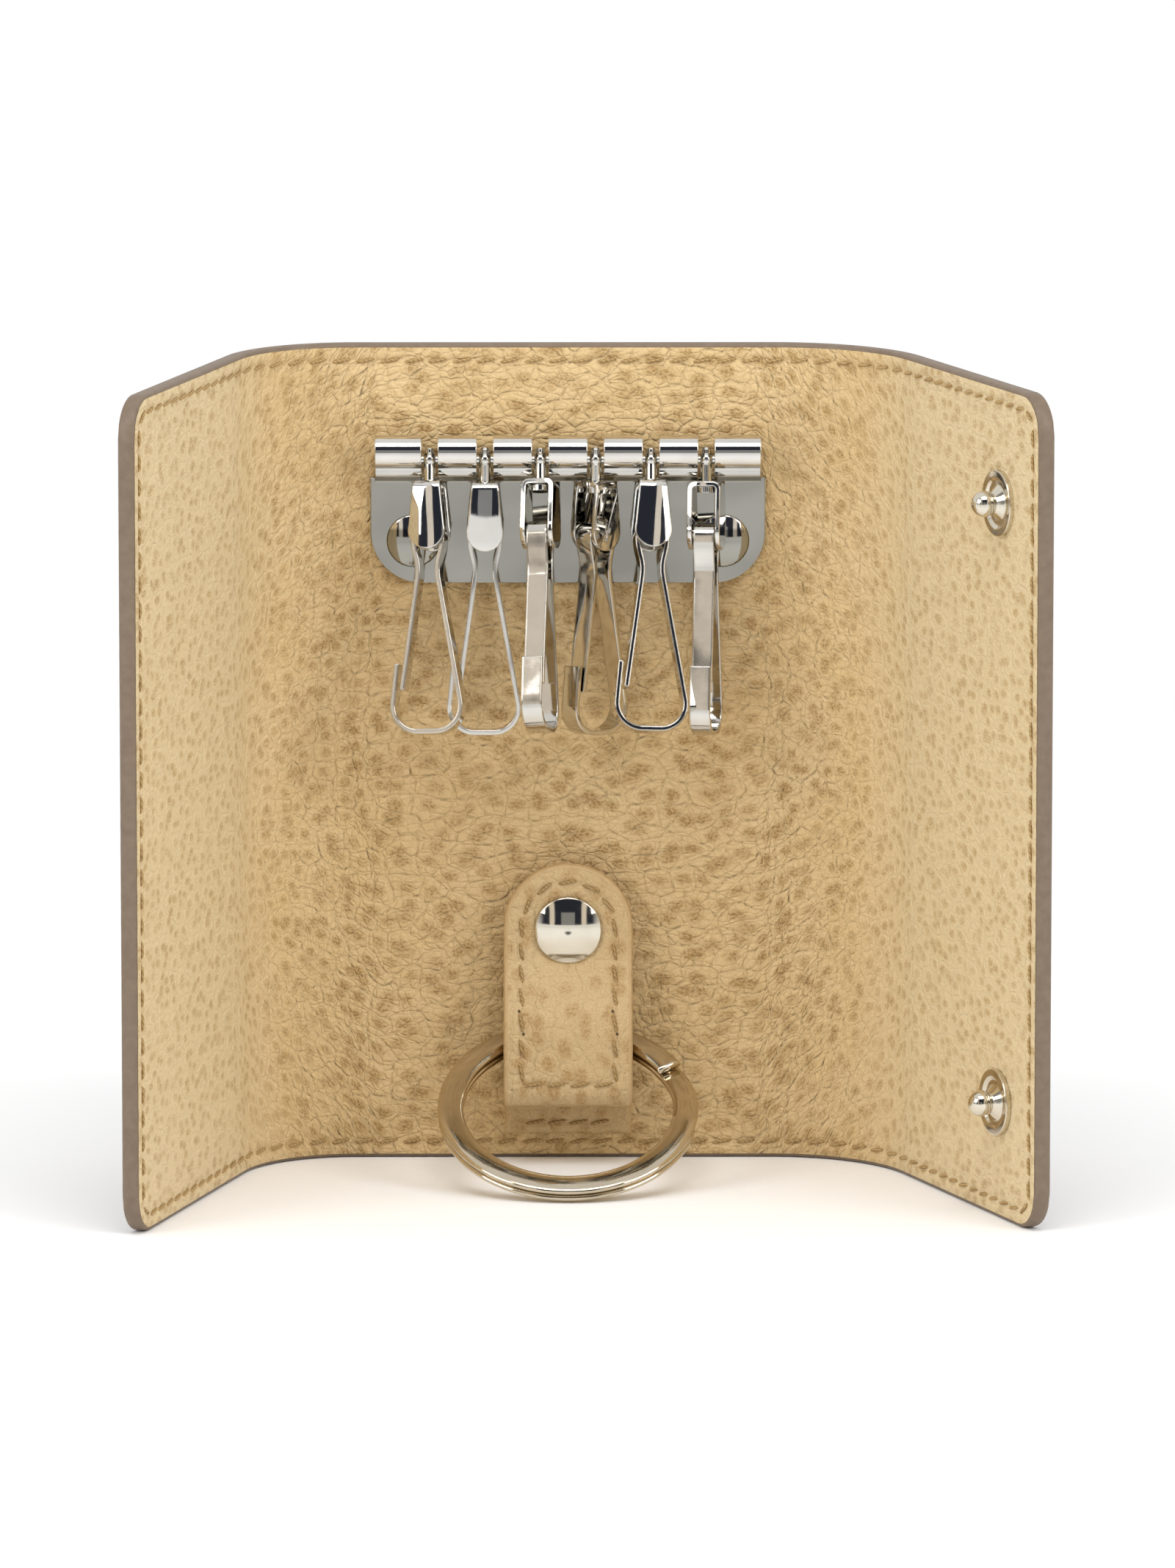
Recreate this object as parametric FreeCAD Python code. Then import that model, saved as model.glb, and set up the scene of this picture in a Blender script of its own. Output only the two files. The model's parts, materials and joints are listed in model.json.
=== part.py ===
import FreeCAD, Part
import math
import os

# Three-fold leather key case, open and standing on its lower edges, with the lining towards -Y.
# The origin is at the foot of the middle panel, on the lining's face. X runs right and Z up.
# All lengths are in millimetres and all angles in degrees.

# Leather
case_height = 105.0
panel_left = 26.9
panel_right = 25.8
left_flap = 41.4
right_flap = 40.0
left_bend_radius = 14.8
right_bend_radius = 18.2
left_open_angle = 72.5
right_open_angle = 67.3
left_close_angle = 53.75
right_close_angle = 53.5
corner_radius = 5.0
lining_thick = 0.8
cover_thick = 1.3
board_thick = 0.4
board_margin = 3.0
seat_clearance = 0.1
cut_overrun = 1.0
tiny = 0.00001

# Key rail, its heights measured down from the top of the case
rail_half = 25.0
rail_foot_drop = 30.5
rail_shoulder_drop = 17.05
rail_foot_radius = 6.5
rail_sheet = 0.6
tube_radius = 2.1
tube_axis_out = 3.1
tube_axis_drop = 13.35
knuckle_inset = 0.6
end_knuckle = 5.85
hook_count = 6
knuckle_gap = 2.1
seam_width = 0.6
rod_radius = 0.5
rod_forward = 0.2
rod_drop = 0.95
rivet_inset = 5.4
rivet_drop = 25.1
rivet_head_radius = 3.4
rivet_head_height = 0.8
rivet_shank_radius = 1.1
rivet_tail_radius = 2.2

# Hook post
post_boss_radius = 0.93
post_nose_radius = 0.55
post_nose_height = 1.6
post_shank_radius = 0.7
post_head_radius = 1.15
post_head_height = 0.8
running_clearance = 0.05

# Hook hood, measured down from the rod
hood_top = 2.7
hood_height = 8.8
hood_sheet = 0.6
hood_half_depth = 2.1
hood_top_half = 1.65
hood_wide_half = 2.25
hood_wide_drop = 5.8
hood_inner_bend = 0.4
hood_pin_radius = 0.7

# Spring clip, measured down from the rod along the middle of its strip
clip_width = 2.6
clip_thick = 0.6
clip_top_drop = 8.3
clip_shoulder_half = 1.85
clip_shoulder_drop = 11.0
clip_waist_half = 1.15
clip_waist_drop = 14.0
clip_foot_half = 4.85
clip_foot_drop = 34.6
clip_foot_radius = 3.2
clip_top_bend = 1.6
clip_soft_bend = 6.0
clip_lip_half = 4.0
clip_lip_drop = 26.0
gate_end_half = 3.3
gate_end_drop = 29.3

# Resting turn of each clip on its post, and lean of each hook away from the panel
clip_turns = (-12.0, 0.0, 76.0, 45.0, 8.0, 79.0)
hook_leans = (15.0, 4.0, 19.5, 4.0, 18.5, 6.5)

# Strap and split ring
strap_width = 16.3
strap_layer = 0.9
strap_root_z = 7.2
strap_root_rise = 2.1
strap_stand = 7.6
strap_fold_radius = 1.6
strap_lean_run = 7.5
strap_snap_run = 3.9
strap_top_run = 8.4
strap_snap_stand = 3.8
strap_bend = 8.0
ring_radius = 16.5
ring_band = 3.2
ring_coil = 0.95
ring_coil_gap = 0.1
ring_edge = 0.25
ring_tilt = 60.0
ring_back_gap = 0.9
ring_floor_gap = 0.05
ring_ramp_turn = 40.0
ring_end_turn = 30.0
ring_slot_turn = 3.0
ring_ramp_steps = 6

# Snap fasteners
strap_snap_height = 30.4
cap_radius = 4.25
cap_height = 1.3
cap_rim = 0.3
cap_shank = 1.0
panel_stud_base = 3.2
panel_stud_flange = 0.35
panel_stud_ball = 1.2
panel_stud_neck = 0.9
strap_socket_radius = 3.0
strap_socket_floor = 0.35
snap_gap = 0.25
flap_stud_end = 14.65
flap_stud_inset = 11.5
flap_stud_radius = 4.15
flap_stud_flange = 0.7
flap_stud_dish = 0.35
flap_stud_rim = 0.9
flap_stud_ball = 1.65
flap_stud_height = 3.9
flap_stud_neck = 1.2
flap_stud_boss = 2.3
flap_stud_boss_rise = 0.9
flap_socket_radius = 3.9
flap_socket_height = 2.0
flap_socket_base = 0.5
flap_socket_body = 3.0
flap_socket_mouth = 2.0
flap_socket_tail = 2.4
flap_socket_floor = 0.2
stud_washer_radius = 3.0
socket_washer_radius = 3.6

# Derived places
leather_thick = lining_thick + cover_thick
rail_foot_z = case_height - rail_foot_drop
rail_shoulder_z = case_height - rail_shoulder_drop
tube_axis_z = case_height - tube_axis_drop
rivet_z = case_height - rivet_drop
rivet_x = rail_half - rivet_inset
knuckle_half_row = rail_half - knuckle_inset
hook_pitch = (2 * (knuckle_half_row - end_knuckle) - knuckle_gap) / (hook_count - 1)
rod_out = tube_axis_out + rod_forward
rod_z = tube_axis_z - rod_drop
tail_back = lining_thick + board_thick
strap_snap_z = strap_snap_height - strap_snap_run
strap_lean_z = strap_snap_z - strap_lean_run
strap_top_z = strap_snap_height + strap_top_run
panels = {-1: panel_left, 1: panel_right}
flaps = {-1: left_flap, 1: right_flap}
radii = {-1: left_bend_radius, 1: right_bend_radius}
open_angles = {-1: left_open_angle, 1: right_open_angle}
close_angles = {-1: left_close_angle, 1: right_close_angle}
stud_heights = (flap_stud_end, case_height - flap_stud_end)

X_AXIS = FreeCAD.Vector(1, 0, 0)
Y_AXIS = FreeCAD.Vector(0, 1, 0)
Z_AXIS = FreeCAD.Vector(0, 0, 1)
ORIGIN = FreeCAD.Vector(0, 0, 0)


def point(x, y, z):
    return FreeCAD.Vector(x, y, z)


def unit(vector):
    return vector * (1 / vector.Length)


def box(x0, x1, y0, y1, z0, z1):
    return Part.makeBox(x1 - x0, y1 - y0, z1 - z0, point(x0, y0, z0))


def cylinder(radius, start, end):
    return Part.makeCylinder(radius, (end - start).Length, start, end - start)


def turned(outline, base, direction):
    """Solid of revolution from (radius, height) points, standing on base along direction."""
    corners = [point(radius, 0, height) for radius, height in outline]
    profile = Part.Face(Part.makePolygon(corners + corners[:1]))
    solid = profile.revolve(ORIGIN, Z_AXIS, 360)
    return stood(solid, base, direction)


def stood(solid, base, direction):
    """Moves a solid made on +Z so that it stands on base along direction."""
    placed = solid.copy()
    turn = FreeCAD.Rotation(Z_AXIS, direction)
    placed.Placement = FreeCAD.Placement(base, turn).multiply(placed.Placement)
    return placed


def dome(radius, height, rim):
    """Round cap on +Z: a short rim with a shallow crown on it."""
    crown = height - rim
    ball = (radius ** 2 + crown ** 2) / (2 * crown)
    sphere = Part.makeSphere(ball, point(0, 0, height - ball))
    return sphere.common(cylinder(radius, ORIGIN, point(0, 0, height)))


def straight(start, end):
    """One straight edge, or none where a bend leaves no run between its ends."""
    return [Part.makeLine(start, end)] if (end - start).Length > tiny else []


def rounded_edges(corners, bends):
    """Straight runs through the corners, each inner corner rounded by its bend radius."""
    edges = []
    start = corners[0]
    for before, corner, after, bend in zip(corners, corners[1:], corners[2:], bends):
        into = unit(corner - before)
        out = unit(after - corner)
        half_turn = into.getAngle(out) / 2
        setback = bend * math.tan(half_turn)
        first = corner - into * setback
        last = corner + out * setback
        middle = corner + unit(out - into) * (bend / math.cos(half_turn) - bend)
        edges += straight(start, first)
        edges.append(Part.Arc(first, middle, last).toShape())
        start = last
    return edges + straight(start, corners[-1])


def shifted(corners, bends, normal, distance):
    """The same route moved sideways in its plane, with its bends grown or shrunk to suit."""
    runs = [unit(after - before) for before, after in zip(corners, corners[1:])]
    sides = [normal.cross(run) for run in runs]
    moved = [corners[0] + sides[0] * distance]
    for corner, side, following in zip(corners[1:-1], sides, sides[1:]):
        bisector = side + following
        moved.append(corner + bisector * (2 * distance / bisector.dot(bisector)))
    moved.append(corners[-1] + sides[-1] * distance)
    grown = []
    for bend, run, following in zip(bends, runs, runs[1:]):
        inward = normal.dot(run.cross(following)) > 0
        grown.append(bend - distance if inward else bend + distance)
    return moved, grown


def strip(corners, bends, normal, near, far):
    """Flat face of a bent strip, between two sideways offsets of one route."""
    near_edges = rounded_edges(*shifted(corners, bends, normal, near))
    far_edges = rounded_edges(*shifted(corners, bends, normal, far))
    starts = [edges[0].valueAt(edges[0].FirstParameter) for edges in (near_edges, far_edges)]
    ends = [edges[-1].valueAt(edges[-1].LastParameter) for edges in (near_edges, far_edges)]
    caps = [Part.makeLine(*starts), Part.makeLine(*ends)]
    return Part.Face(Part.Wire(Part.__sortEdges__(near_edges + far_edges + caps)))


def centred(face, direction, width):
    """Extrudes a face to a width that is centred on the face's plane."""
    solid = face.extrude(direction * width)
    solid.translate(direction * (-width / 2))
    return solid


def folded(shape, side):
    """Carries a piece made flat beside the panel round the bend to its open place."""
    placed = shape.copy()
    placed.rotate(point(side * panels[side], -radii[side], 0), Z_AXIS, -side * open_angles[side])
    return placed


def hole(x, z, radius, front, back):
    """Round cutter along Y at one place on the flat panel or a flat flap."""
    return cylinder(radius, point(x, front, z), point(x, back, z))


# Leather skins and the boards between them
SIDES = ((-1, "left"), (1, "right"))


def skin(front, back):
    """One leather layer between two depths: middle panel, bends, and flaps still lying flat."""
    pieces = {"panel": box(-panel_left, panel_right, front, back, 0, case_height)}
    for side, name in SIDES:
        root = side * panels[side]
        tip = side * (panels[side] + flaps[side])
        corners = [point(root, front, 0), point(root, back, 0),
                   point(root, back, case_height), point(root, front, case_height)]
        section = Part.Face(Part.makePolygon(corners + corners[:1]))
        axis = point(root, -radii[side], 0)
        pieces[name + "_fold"] = section.revolve(axis, Z_AXIS, -side * open_angles[side])
        flat = box(min(root, tip), max(root, tip), front, back, 0, case_height)
        outer = [edge for edge in flat.Edges
                 if edge.BoundBox.YLength > edge.BoundBox.XLength + edge.BoundBox.ZLength
                 and side * edge.CenterOfMass.x > side * flat.CenterOfMass.x]
        pieces[name + "_flap"] = flat.makeFillet(corner_radius, outer)
    return pieces


def board(start, end, growth):
    """Stiffening board between two X places, grown sideways to make its pocket."""
    margin = board_margin - growth
    return box(start + margin, end - margin, lining_thick, tail_back, margin, case_height - margin)


def board_spans():
    return {"panel": (-panel_left, panel_right),
            "left_flap": (-panel_left - left_flap, -panel_left),
            "right_flap": (panel_right, panel_right + right_flap)}


# Key rail
def hook_x(index):
    return (index - (hook_count - 1) / 2) * hook_pitch


def knuckle_spans():
    middles = [hook_x(index) for index in range(hook_count)]
    gaps = [(middle - knuckle_gap / 2, middle + knuckle_gap / 2) for middle in middles]
    starts = [-knuckle_half_row] + [end for start, end in gaps]
    ends = [start for start, end in gaps] + [knuckle_half_row]
    return list(zip(starts, ends))


def key_rail():
    """Plate whose upper edge steps forward and rolls over into the knuckles."""
    plate = box(-rail_half, rail_half, -rail_sheet, 0, rail_foot_z, rail_shoulder_z)
    feet = [edge for edge in plate.Edges
            if edge.BoundBox.YLength > edge.BoundBox.XLength + edge.BoundBox.ZLength
            and edge.CenterOfMass.z < plate.CenterOfMass.z]
    plate = plate.makeFillet(rail_foot_radius, feet)
    half = rail_sheet / 2
    roll = tube_radius - half
    leg = -(tube_axis_out - roll)
    front = -(tube_axis_out + roll)
    seam = -(tube_axis_out - tube_radius + rail_sheet + seam_width)
    route = [point(0, -half, rail_shoulder_z - 2 * rail_sheet),
             point(0, -half, rail_shoulder_z - half),
             point(0, leg, rail_shoulder_z + rail_sheet),
             point(0, leg, tube_axis_z + roll),
             point(0, front, tube_axis_z + roll),
             point(0, front, tube_axis_z - roll),
             point(0, seam, tube_axis_z - roll)]
    section = strip(route, [rail_sheet, rail_sheet, roll, roll, roll], X_AXIS, -half, half)
    knuckles = []
    for start, end in knuckle_spans():
        knuckle = section.extrude(X_AXIS * (end - start))
        knuckle.translate(X_AXIS * start)
        knuckles.append(knuckle)
    rail = plate.fuse(knuckles).removeSplitter()
    shanks = [hole(x, rivet_z, rivet_shank_radius, -rail_sheet - cut_overrun, cut_overrun)
              for x in (-rivet_x, rivet_x)]
    return rail.cut(Part.makeCompound(shanks))


def rail_rod():
    return cylinder(rod_radius, point(-knuckle_half_row, -rod_out, rod_z),
                    point(knuckle_half_row, -rod_out, rod_z))


def rail_rivet(x):
    """Domed rivet through plate and lining, clinched in the panel board."""
    face = point(x, -rail_sheet, rivet_z)
    head = stood(dome(rivet_head_radius, rivet_head_height, 0), face, -Y_AXIS)
    shank = cylinder(rivet_shank_radius, face, point(x, tail_back, rivet_z))
    tail = hole(x, rivet_z, rivet_tail_radius, lining_thick, tail_back)
    return head.fuse([shank, tail]).removeSplitter()


# Hooks, made hanging from the origin and then hung on the rod
def hung(shape, index, turn):
    placed = shape.copy()
    placed.rotate(ORIGIN, Z_AXIS, turn)
    placed.rotate(ORIGIN, X_AXIS, -hook_leans[index])
    placed.translate(point(hook_x(index), -rod_out, rod_z))
    return placed


post_head_drop = hood_top + hood_sheet + running_clearance


def hook_post():
    """Turned pin: bullet nose, boss drilled for the rod, shank and a head inside the hood."""
    nose_tip = post_nose_radius / 2
    pin = turned([(0, post_nose_height), (nose_tip, post_nose_height),
                  (post_nose_radius, post_nose_height - nose_tip), (post_nose_radius, 0),
                  (post_shank_radius, 0), (post_shank_radius, -post_head_drop),
                  (post_head_radius, -post_head_drop),
                  (post_head_radius, -post_head_drop - post_head_height),
                  (0, -post_head_drop - post_head_height)], ORIGIN, Z_AXIS)
    boss = Part.makeSphere(post_boss_radius)
    reach = X_AXIS * (post_boss_radius + cut_overrun)
    bore = cylinder(rod_radius + running_clearance, -reach, reach)
    return pin.fuse(boss).removeSplitter().cut(bore)


def bent_cover(half_width, half_depth, top, bottom, bend):
    """Block whose two upper edges along X are rounded, as sheet bent over them would be."""
    block = box(-half_width, half_width, -half_depth, half_depth, -bottom, -top)
    ridges = [edge for edge in block.Edges
              if edge.BoundBox.XLength > edge.BoundBox.YLength + edge.BoundBox.ZLength
              and edge.CenterOfMass.z > block.CenterOfMass.z]
    return block.makeFillet(bend, ridges)


def shank_hole():
    return cylinder(post_shank_radius + running_clearance, ORIGIN, point(0, 0, -post_head_drop))


def hook_hood():
    """Sheet bent into an upside-down U, its two cheeks widening to a rounded foot, with a cross pin."""
    foot = hood_top + hood_height
    wide = hood_top + hood_wide_drop
    outside = bent_cover(hood_wide_half + cut_overrun, hood_half_depth, hood_top, foot,
                         hood_inner_bend + hood_sheet)
    inside = bent_cover(hood_wide_half + 2 * cut_overrun, hood_half_depth - hood_sheet,
                        hood_top + hood_sheet, foot + cut_overrun, hood_inner_bend)
    left = [point(-hood_top_half, 0, -hood_top), point(-hood_wide_half, 0, -wide)]
    right = [point(hood_wide_half, 0, -wide), point(hood_top_half, 0, -hood_top)]
    edges = [Part.makeLine(*left), Part.Arc(left[1], point(0, 0, -foot), right[0]).toShape(),
             Part.makeLine(*right), Part.makeLine(right[1], left[0])]
    cheek = centred(Part.Face(Part.Wire(edges)), Y_AXIS, 2 * hood_half_depth + cut_overrun)
    hood = outside.cut(inside).common(cheek).cut(shank_hole())
    pin_drop = clip_top_drop + clip_thick / 2 + seat_clearance + hood_pin_radius
    pin_ends = [point(0, side * hood_half_depth, -pin_drop) for side in (-1, 1)]
    pin = cylinder(hood_pin_radius, *pin_ends)
    return hood.fuse(pin).removeSplitter()


def hook_clip():
    """One spring strip: gate leg, roll over the hood's pin, long leg, foot and upturned lip."""
    route = [(-gate_end_half, gate_end_drop), (-clip_waist_half, clip_waist_drop),
             (-clip_shoulder_half, clip_shoulder_drop), (-clip_shoulder_half, clip_top_drop),
             (clip_shoulder_half, clip_top_drop), (clip_shoulder_half, clip_shoulder_drop),
             (clip_waist_half, clip_waist_drop), (clip_foot_half, clip_foot_drop),
             (-clip_foot_half, clip_foot_drop), (-clip_lip_half, clip_lip_drop)]
    corners = [point(x, 0, -drop) for x, drop in route]
    bends = [clip_soft_bend, clip_soft_bend, clip_top_bend, clip_top_bend,
             clip_soft_bend, clip_soft_bend, clip_foot_radius, clip_foot_radius]
    face = strip(corners, bends, Y_AXIS, -clip_thick / 2, clip_thick / 2)
    return centred(face, Y_AXIS, clip_width)


# Strap and split ring
def out(distance, z):
    """Place on the middle plane, a distance in front of the lining's face."""
    return point(0, -distance, z)


strap_back_out = strap_snap_stand - strap_layer
strap_face_out = strap_snap_stand + strap_layer
fold_corner = out(strap_stand, strap_root_z + strap_root_rise)
root_start = out(-lining_thick, strap_root_z)
root_run = unit(fold_corner - root_start)
fold_setback = strap_fold_radius * math.tan(root_run.getAngle(Z_AXIS) / 2)
root_end = fold_corner - root_run * fold_setback
fold_end = fold_corner + Z_AXIS * fold_setback


def strap_root(growth):
    """Foot of the strap, from inside the leather out through the slit; grown, it cuts the slit."""
    face = strip([root_start, root_end], [], X_AXIS, -strap_layer - growth, strap_layer + growth)
    return centred(face, X_AXIS, strap_width + 2 * growth)


def strap_fold():
    face = strip([root_end, fold_corner, fold_end], [strap_fold_radius], X_AXIS, -strap_layer, strap_layer)
    return centred(face, X_AXIS, strap_width)


def strap_leaf(near, far):
    """One layer of the strap: up in front of the ring, back to the snap, and an arched end."""
    route = [fold_end, out(strap_stand, strap_lean_z), out(strap_snap_stand, strap_snap_z),
             out(strap_snap_stand, strap_top_z)]
    leaf = centred(strip(route, [strap_bend, strap_bend], X_AXIS, near, far), X_AXIS, strap_width)
    half = strap_width / 2
    arch_z = strap_top_z - half
    front = -strap_stand - 2 * strap_layer
    arch = box(-half, half, front, 0, 0, arch_z).fuse(hole(0, arch_z, half, front, 0))
    return leaf.common(arch).cut(hole(0, strap_snap_height, cap_shank + seat_clearance, front, 0))


def strap_cap():
    face = out(strap_face_out, strap_snap_height)
    shank = cylinder(cap_shank, face, out(strap_back_out, strap_snap_height))
    return stood(dome(cap_radius, cap_height, cap_rim), face, -Y_AXIS).fuse(shank).removeSplitter()


def strap_socket():
    height = strap_back_out - panel_stud_flange - snap_gap
    mouth = panel_stud_ball + snap_gap
    return turned([(0, 0), (strap_socket_radius, 0), (strap_socket_radius, height), (mouth, height),
                   (mouth, strap_socket_floor), (0, strap_socket_floor)],
                  out(strap_back_out, strap_snap_height), Y_AXIS)


def panel_stud():
    """Stud under the strap's snap, its foot held in the panel board."""
    ball_out = strap_back_out - strap_socket_floor - snap_gap / 2 - panel_stud_ball
    body = turned([(0, -tail_back), (stud_washer_radius, -tail_back), (stud_washer_radius, -lining_thick),
                   (panel_stud_neck, -lining_thick), (panel_stud_neck, 0), (panel_stud_base, 0),
                   (panel_stud_base, panel_stud_flange), (panel_stud_neck, panel_stud_flange),
                   (panel_stud_neck, ball_out), (0, ball_out)], out(0, strap_snap_height), -Y_AXIS)
    ball = Part.makeSphere(panel_stud_ball, out(ball_out, strap_snap_height))
    return body.fuse(ball).removeSplitter()


def ring_section(turn, level):
    """Section of the ring's strip at one turn round the ring and one height above its middle plane."""
    low = level - ring_coil / 2
    high = level + ring_coil / 2
    inner = ring_radius - ring_band
    corners = [point(inner + ring_edge, 0, low), point(ring_radius - ring_edge, 0, low),
               point(ring_radius, 0, low + ring_edge), point(ring_radius, 0, high - ring_edge),
               point(ring_radius - ring_edge, 0, high), point(inner + ring_edge, 0, high),
               point(inner, 0, high - ring_edge), point(inner, 0, low + ring_edge)]
    wire = Part.makePolygon(corners + corners[:1])
    wire.rotate(ORIGIN, Z_AXIS, turn)
    return wire


def split_ring():
    """Two flat turns of one strip: the upper turn steps down to the lower one over a short ramp."""
    level = (ring_coil + ring_coil_gap) / 2
    ramp_start = ring_end_turn - ring_ramp_turn
    full = 360
    upper = Part.Face(ring_section(ring_end_turn, level)).revolve(ORIGIN, Z_AXIS, full - ring_ramp_turn)
    lower_turn = full - ring_ramp_turn - ring_slot_turn
    lower = Part.Face(ring_section(ring_end_turn, -level)).revolve(ORIGIN, Z_AXIS, lower_turn)
    sections = []
    for step in range(ring_ramp_steps + 1):
        share = step / ring_ramp_steps
        sections.append(ring_section(ramp_start + share * ring_ramp_turn, level - 2 * share * level))
    ramp = Part.makeLoft(sections, True, True)
    ring = upper.fuse([ramp, lower])
    ring.rotate(ORIGIN, X_AXIS, 90 - ring_tilt)
    tilt = math.radians(ring_tilt)
    half_thick = level + ring_coil / 2
    top_z = 2 * ring_radius * math.cos(tilt) + half_thick * math.sin(tilt) + ring_floor_gap
    ring.translate(out(ring_back_gap + ring_radius * math.sin(tilt), top_z - ring_radius * math.cos(tilt)))
    return ring


# Snaps between the flaps: studs on the right flap, sockets where the studs land on the left flap
def shut_place(side, along, height):
    """Distance out from the middle, on the flap's own side, of a flap's point once the case is shut."""
    flap_turn = math.radians(open_angles[side] + 2 * close_angles[side])
    chord = 2 * radii[side] * math.sin(math.radians(open_angles[side] / 2))
    chord_turn = flap_turn / 2
    crease = panels[side] + chord * math.cos(chord_turn)
    return crease + along * math.cos(flap_turn) - height * math.sin(flap_turn)


stud_x = panel_right + right_flap - flap_stud_inset
ball_height = flap_stud_height - flap_stud_ball
shut_stud = shut_place(1, right_flap - flap_stud_inset, ball_height)
socket_along = shut_place(-1, 0, 0) + shut_stud
socket_x = -panel_left - socket_along


def flap_stud(z):
    """Ball stud on a coned boss in a dished flange with a rolled rim, its neck riveted in a washer."""
    body = turned([(0, -tail_back), (flap_stud_neck, -tail_back), (flap_stud_neck, 0),
                   (flap_stud_radius, 0), (flap_stud_radius, flap_stud_flange),
                   (flap_stud_radius - flap_stud_rim, flap_stud_flange),
                   (flap_stud_radius - flap_stud_rim - flap_stud_dish, flap_stud_dish),
                   (flap_stud_boss, flap_stud_dish), (flap_stud_neck, flap_stud_dish + flap_stud_boss_rise),
                   (flap_stud_neck, ball_height), (0, ball_height)], point(stud_x, 0, z), -Y_AXIS)
    ball = Part.makeSphere(flap_stud_ball, point(stud_x, -ball_height, z))
    return body.fuse(ball).removeSplitter()


def flap_socket(z):
    """Cup through the cover with a flange on its outer face."""
    return turned([(0, -cover_thick), (flap_socket_tail, -cover_thick), (flap_socket_tail, 0),
                   (flap_socket_radius, 0), (flap_socket_radius, flap_socket_base),
                   (flap_socket_body, flap_socket_base), (flap_socket_body, flap_socket_height),
                   (flap_socket_mouth, flap_socket_height),
                   (flap_socket_mouth, flap_socket_floor - cover_thick),
                   (0, flap_socket_floor - cover_thick)], point(socket_x, leather_thick, z), Y_AXIS)


def washer(x, z, inner, outer):
    ring = hole(x, z, outer, lining_thick, tail_back)
    return ring.cut(hole(x, z, inner, lining_thick, tail_back))


def holes(places, radius):
    """Cutters right through the leather at a list of (x, z) places."""
    return Part.makeCompound([hole(x, z, radius + seat_clearance, -cut_overrun, leather_thick + cut_overrun)
                              for x, z in places])


rivet_places = [(-rivet_x, rivet_z), (rivet_x, rivet_z)]
snap_places = [(0, strap_snap_height)]
stud_places = [(stud_x, z) for z in stud_heights]
socket_places = [(socket_x, z) for z in stud_heights]


def leather_nodes():
    """Lining, boards and cover with their holes and pockets, the flaps folded to their open place."""
    slit = strap_root(seat_clearance)
    lining = skin(0, lining_thick)
    lining["panel"] = lining["panel"].cut([holes(rivet_places, rivet_shank_radius),
                                           holes(snap_places, panel_stud_neck), slit])
    lining["right_flap"] = lining["right_flap"].cut(holes(stud_places, flap_stud_neck))
    boards = {name: board(*span, 0) for name, span in board_spans().items()}
    boards["panel"] = boards["panel"].cut([holes(rivet_places, rivet_tail_radius),
                                           holes(snap_places, stud_washer_radius), slit])
    boards["right_flap"] = boards["right_flap"].cut(holes(stud_places, stud_washer_radius))
    boards["left_flap"] = boards["left_flap"].cut(holes(socket_places, socket_washer_radius))
    cover = skin(lining_thick, leather_thick)
    for name, span in board_spans().items():
        cover[name] = cover[name].cut(board(*span, seat_clearance))
    washer_seats = [hole(x, z, socket_washer_radius + seat_clearance, lining_thick, tail_back)
                    for x, z in socket_places]
    cover["left_flap"] = cover["left_flap"].cut([holes(socket_places, flap_socket_tail)] + washer_seats)
    nodes = {}
    for layer, pieces in (("lining", lining), ("board", boards), ("cover", cover)):
        for name, shape in pieces.items():
            nodes[layer + "_" + name] = shape
    for side, name in SIDES:
        for layer in ("lining", "board", "cover"):
            flap = layer + "_" + name + "_flap"
            nodes[flap] = folded(nodes[flap], side)
    return nodes


def hardware_nodes():
    nodes = {"key_rail": key_rail(), "rail_rod": rail_rod(), "panel_stud": panel_stud()}
    nodes["rail_rivets"] = Part.makeCompound([rail_rivet(x) for x, z in rivet_places])
    studs = [flap_stud(z) for x, z in stud_places]
    stud_washers = [washer(x, z, flap_stud_neck, stud_washer_radius) for x, z in stud_places]
    sockets = [flap_socket(z) for x, z in socket_places]
    socket_washers = [washer(x, z, flap_socket_tail, socket_washer_radius) for x, z in socket_places]
    nodes["flap_studs"] = folded(Part.makeCompound(studs), 1)
    nodes["stud_washers"] = folded(Part.makeCompound(stud_washers), 1)
    nodes["flap_sockets"] = folded(Part.makeCompound(sockets), -1)
    nodes["socket_washers"] = folded(Part.makeCompound(socket_washers), -1)
    post, hood, clip = hook_post(), hook_hood(), hook_clip()
    for index in range(hook_count):
        number = str(index + 1)
        nodes["hook_post_" + number] = hung(post, index, 0)
        nodes["hook_hood_" + number] = hung(hood, index, clip_turns[index])
        nodes["hook_clip_" + number] = hung(clip, index, clip_turns[index])
    return nodes


def strap_nodes():
    cap = strap_cap()
    return {"strap_root": strap_root(0), "strap_fold": strap_fold(),
            "strap_back": strap_leaf(-strap_layer, 0), "strap_front": strap_leaf(0, strap_layer).cut(cap),
            "strap_cap": cap, "strap_socket": strap_socket(), "split_ring": split_ring()}


os.makedirs("parts", exist_ok=True)
for node, shape in {**leather_nodes(), **hardware_nodes(), **strap_nodes()}.items():
    shape.exportStep("parts/" + node + ".step")
    print(node, len(shape.Solids), round(shape.Volume, 2), shape.isValid())
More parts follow.
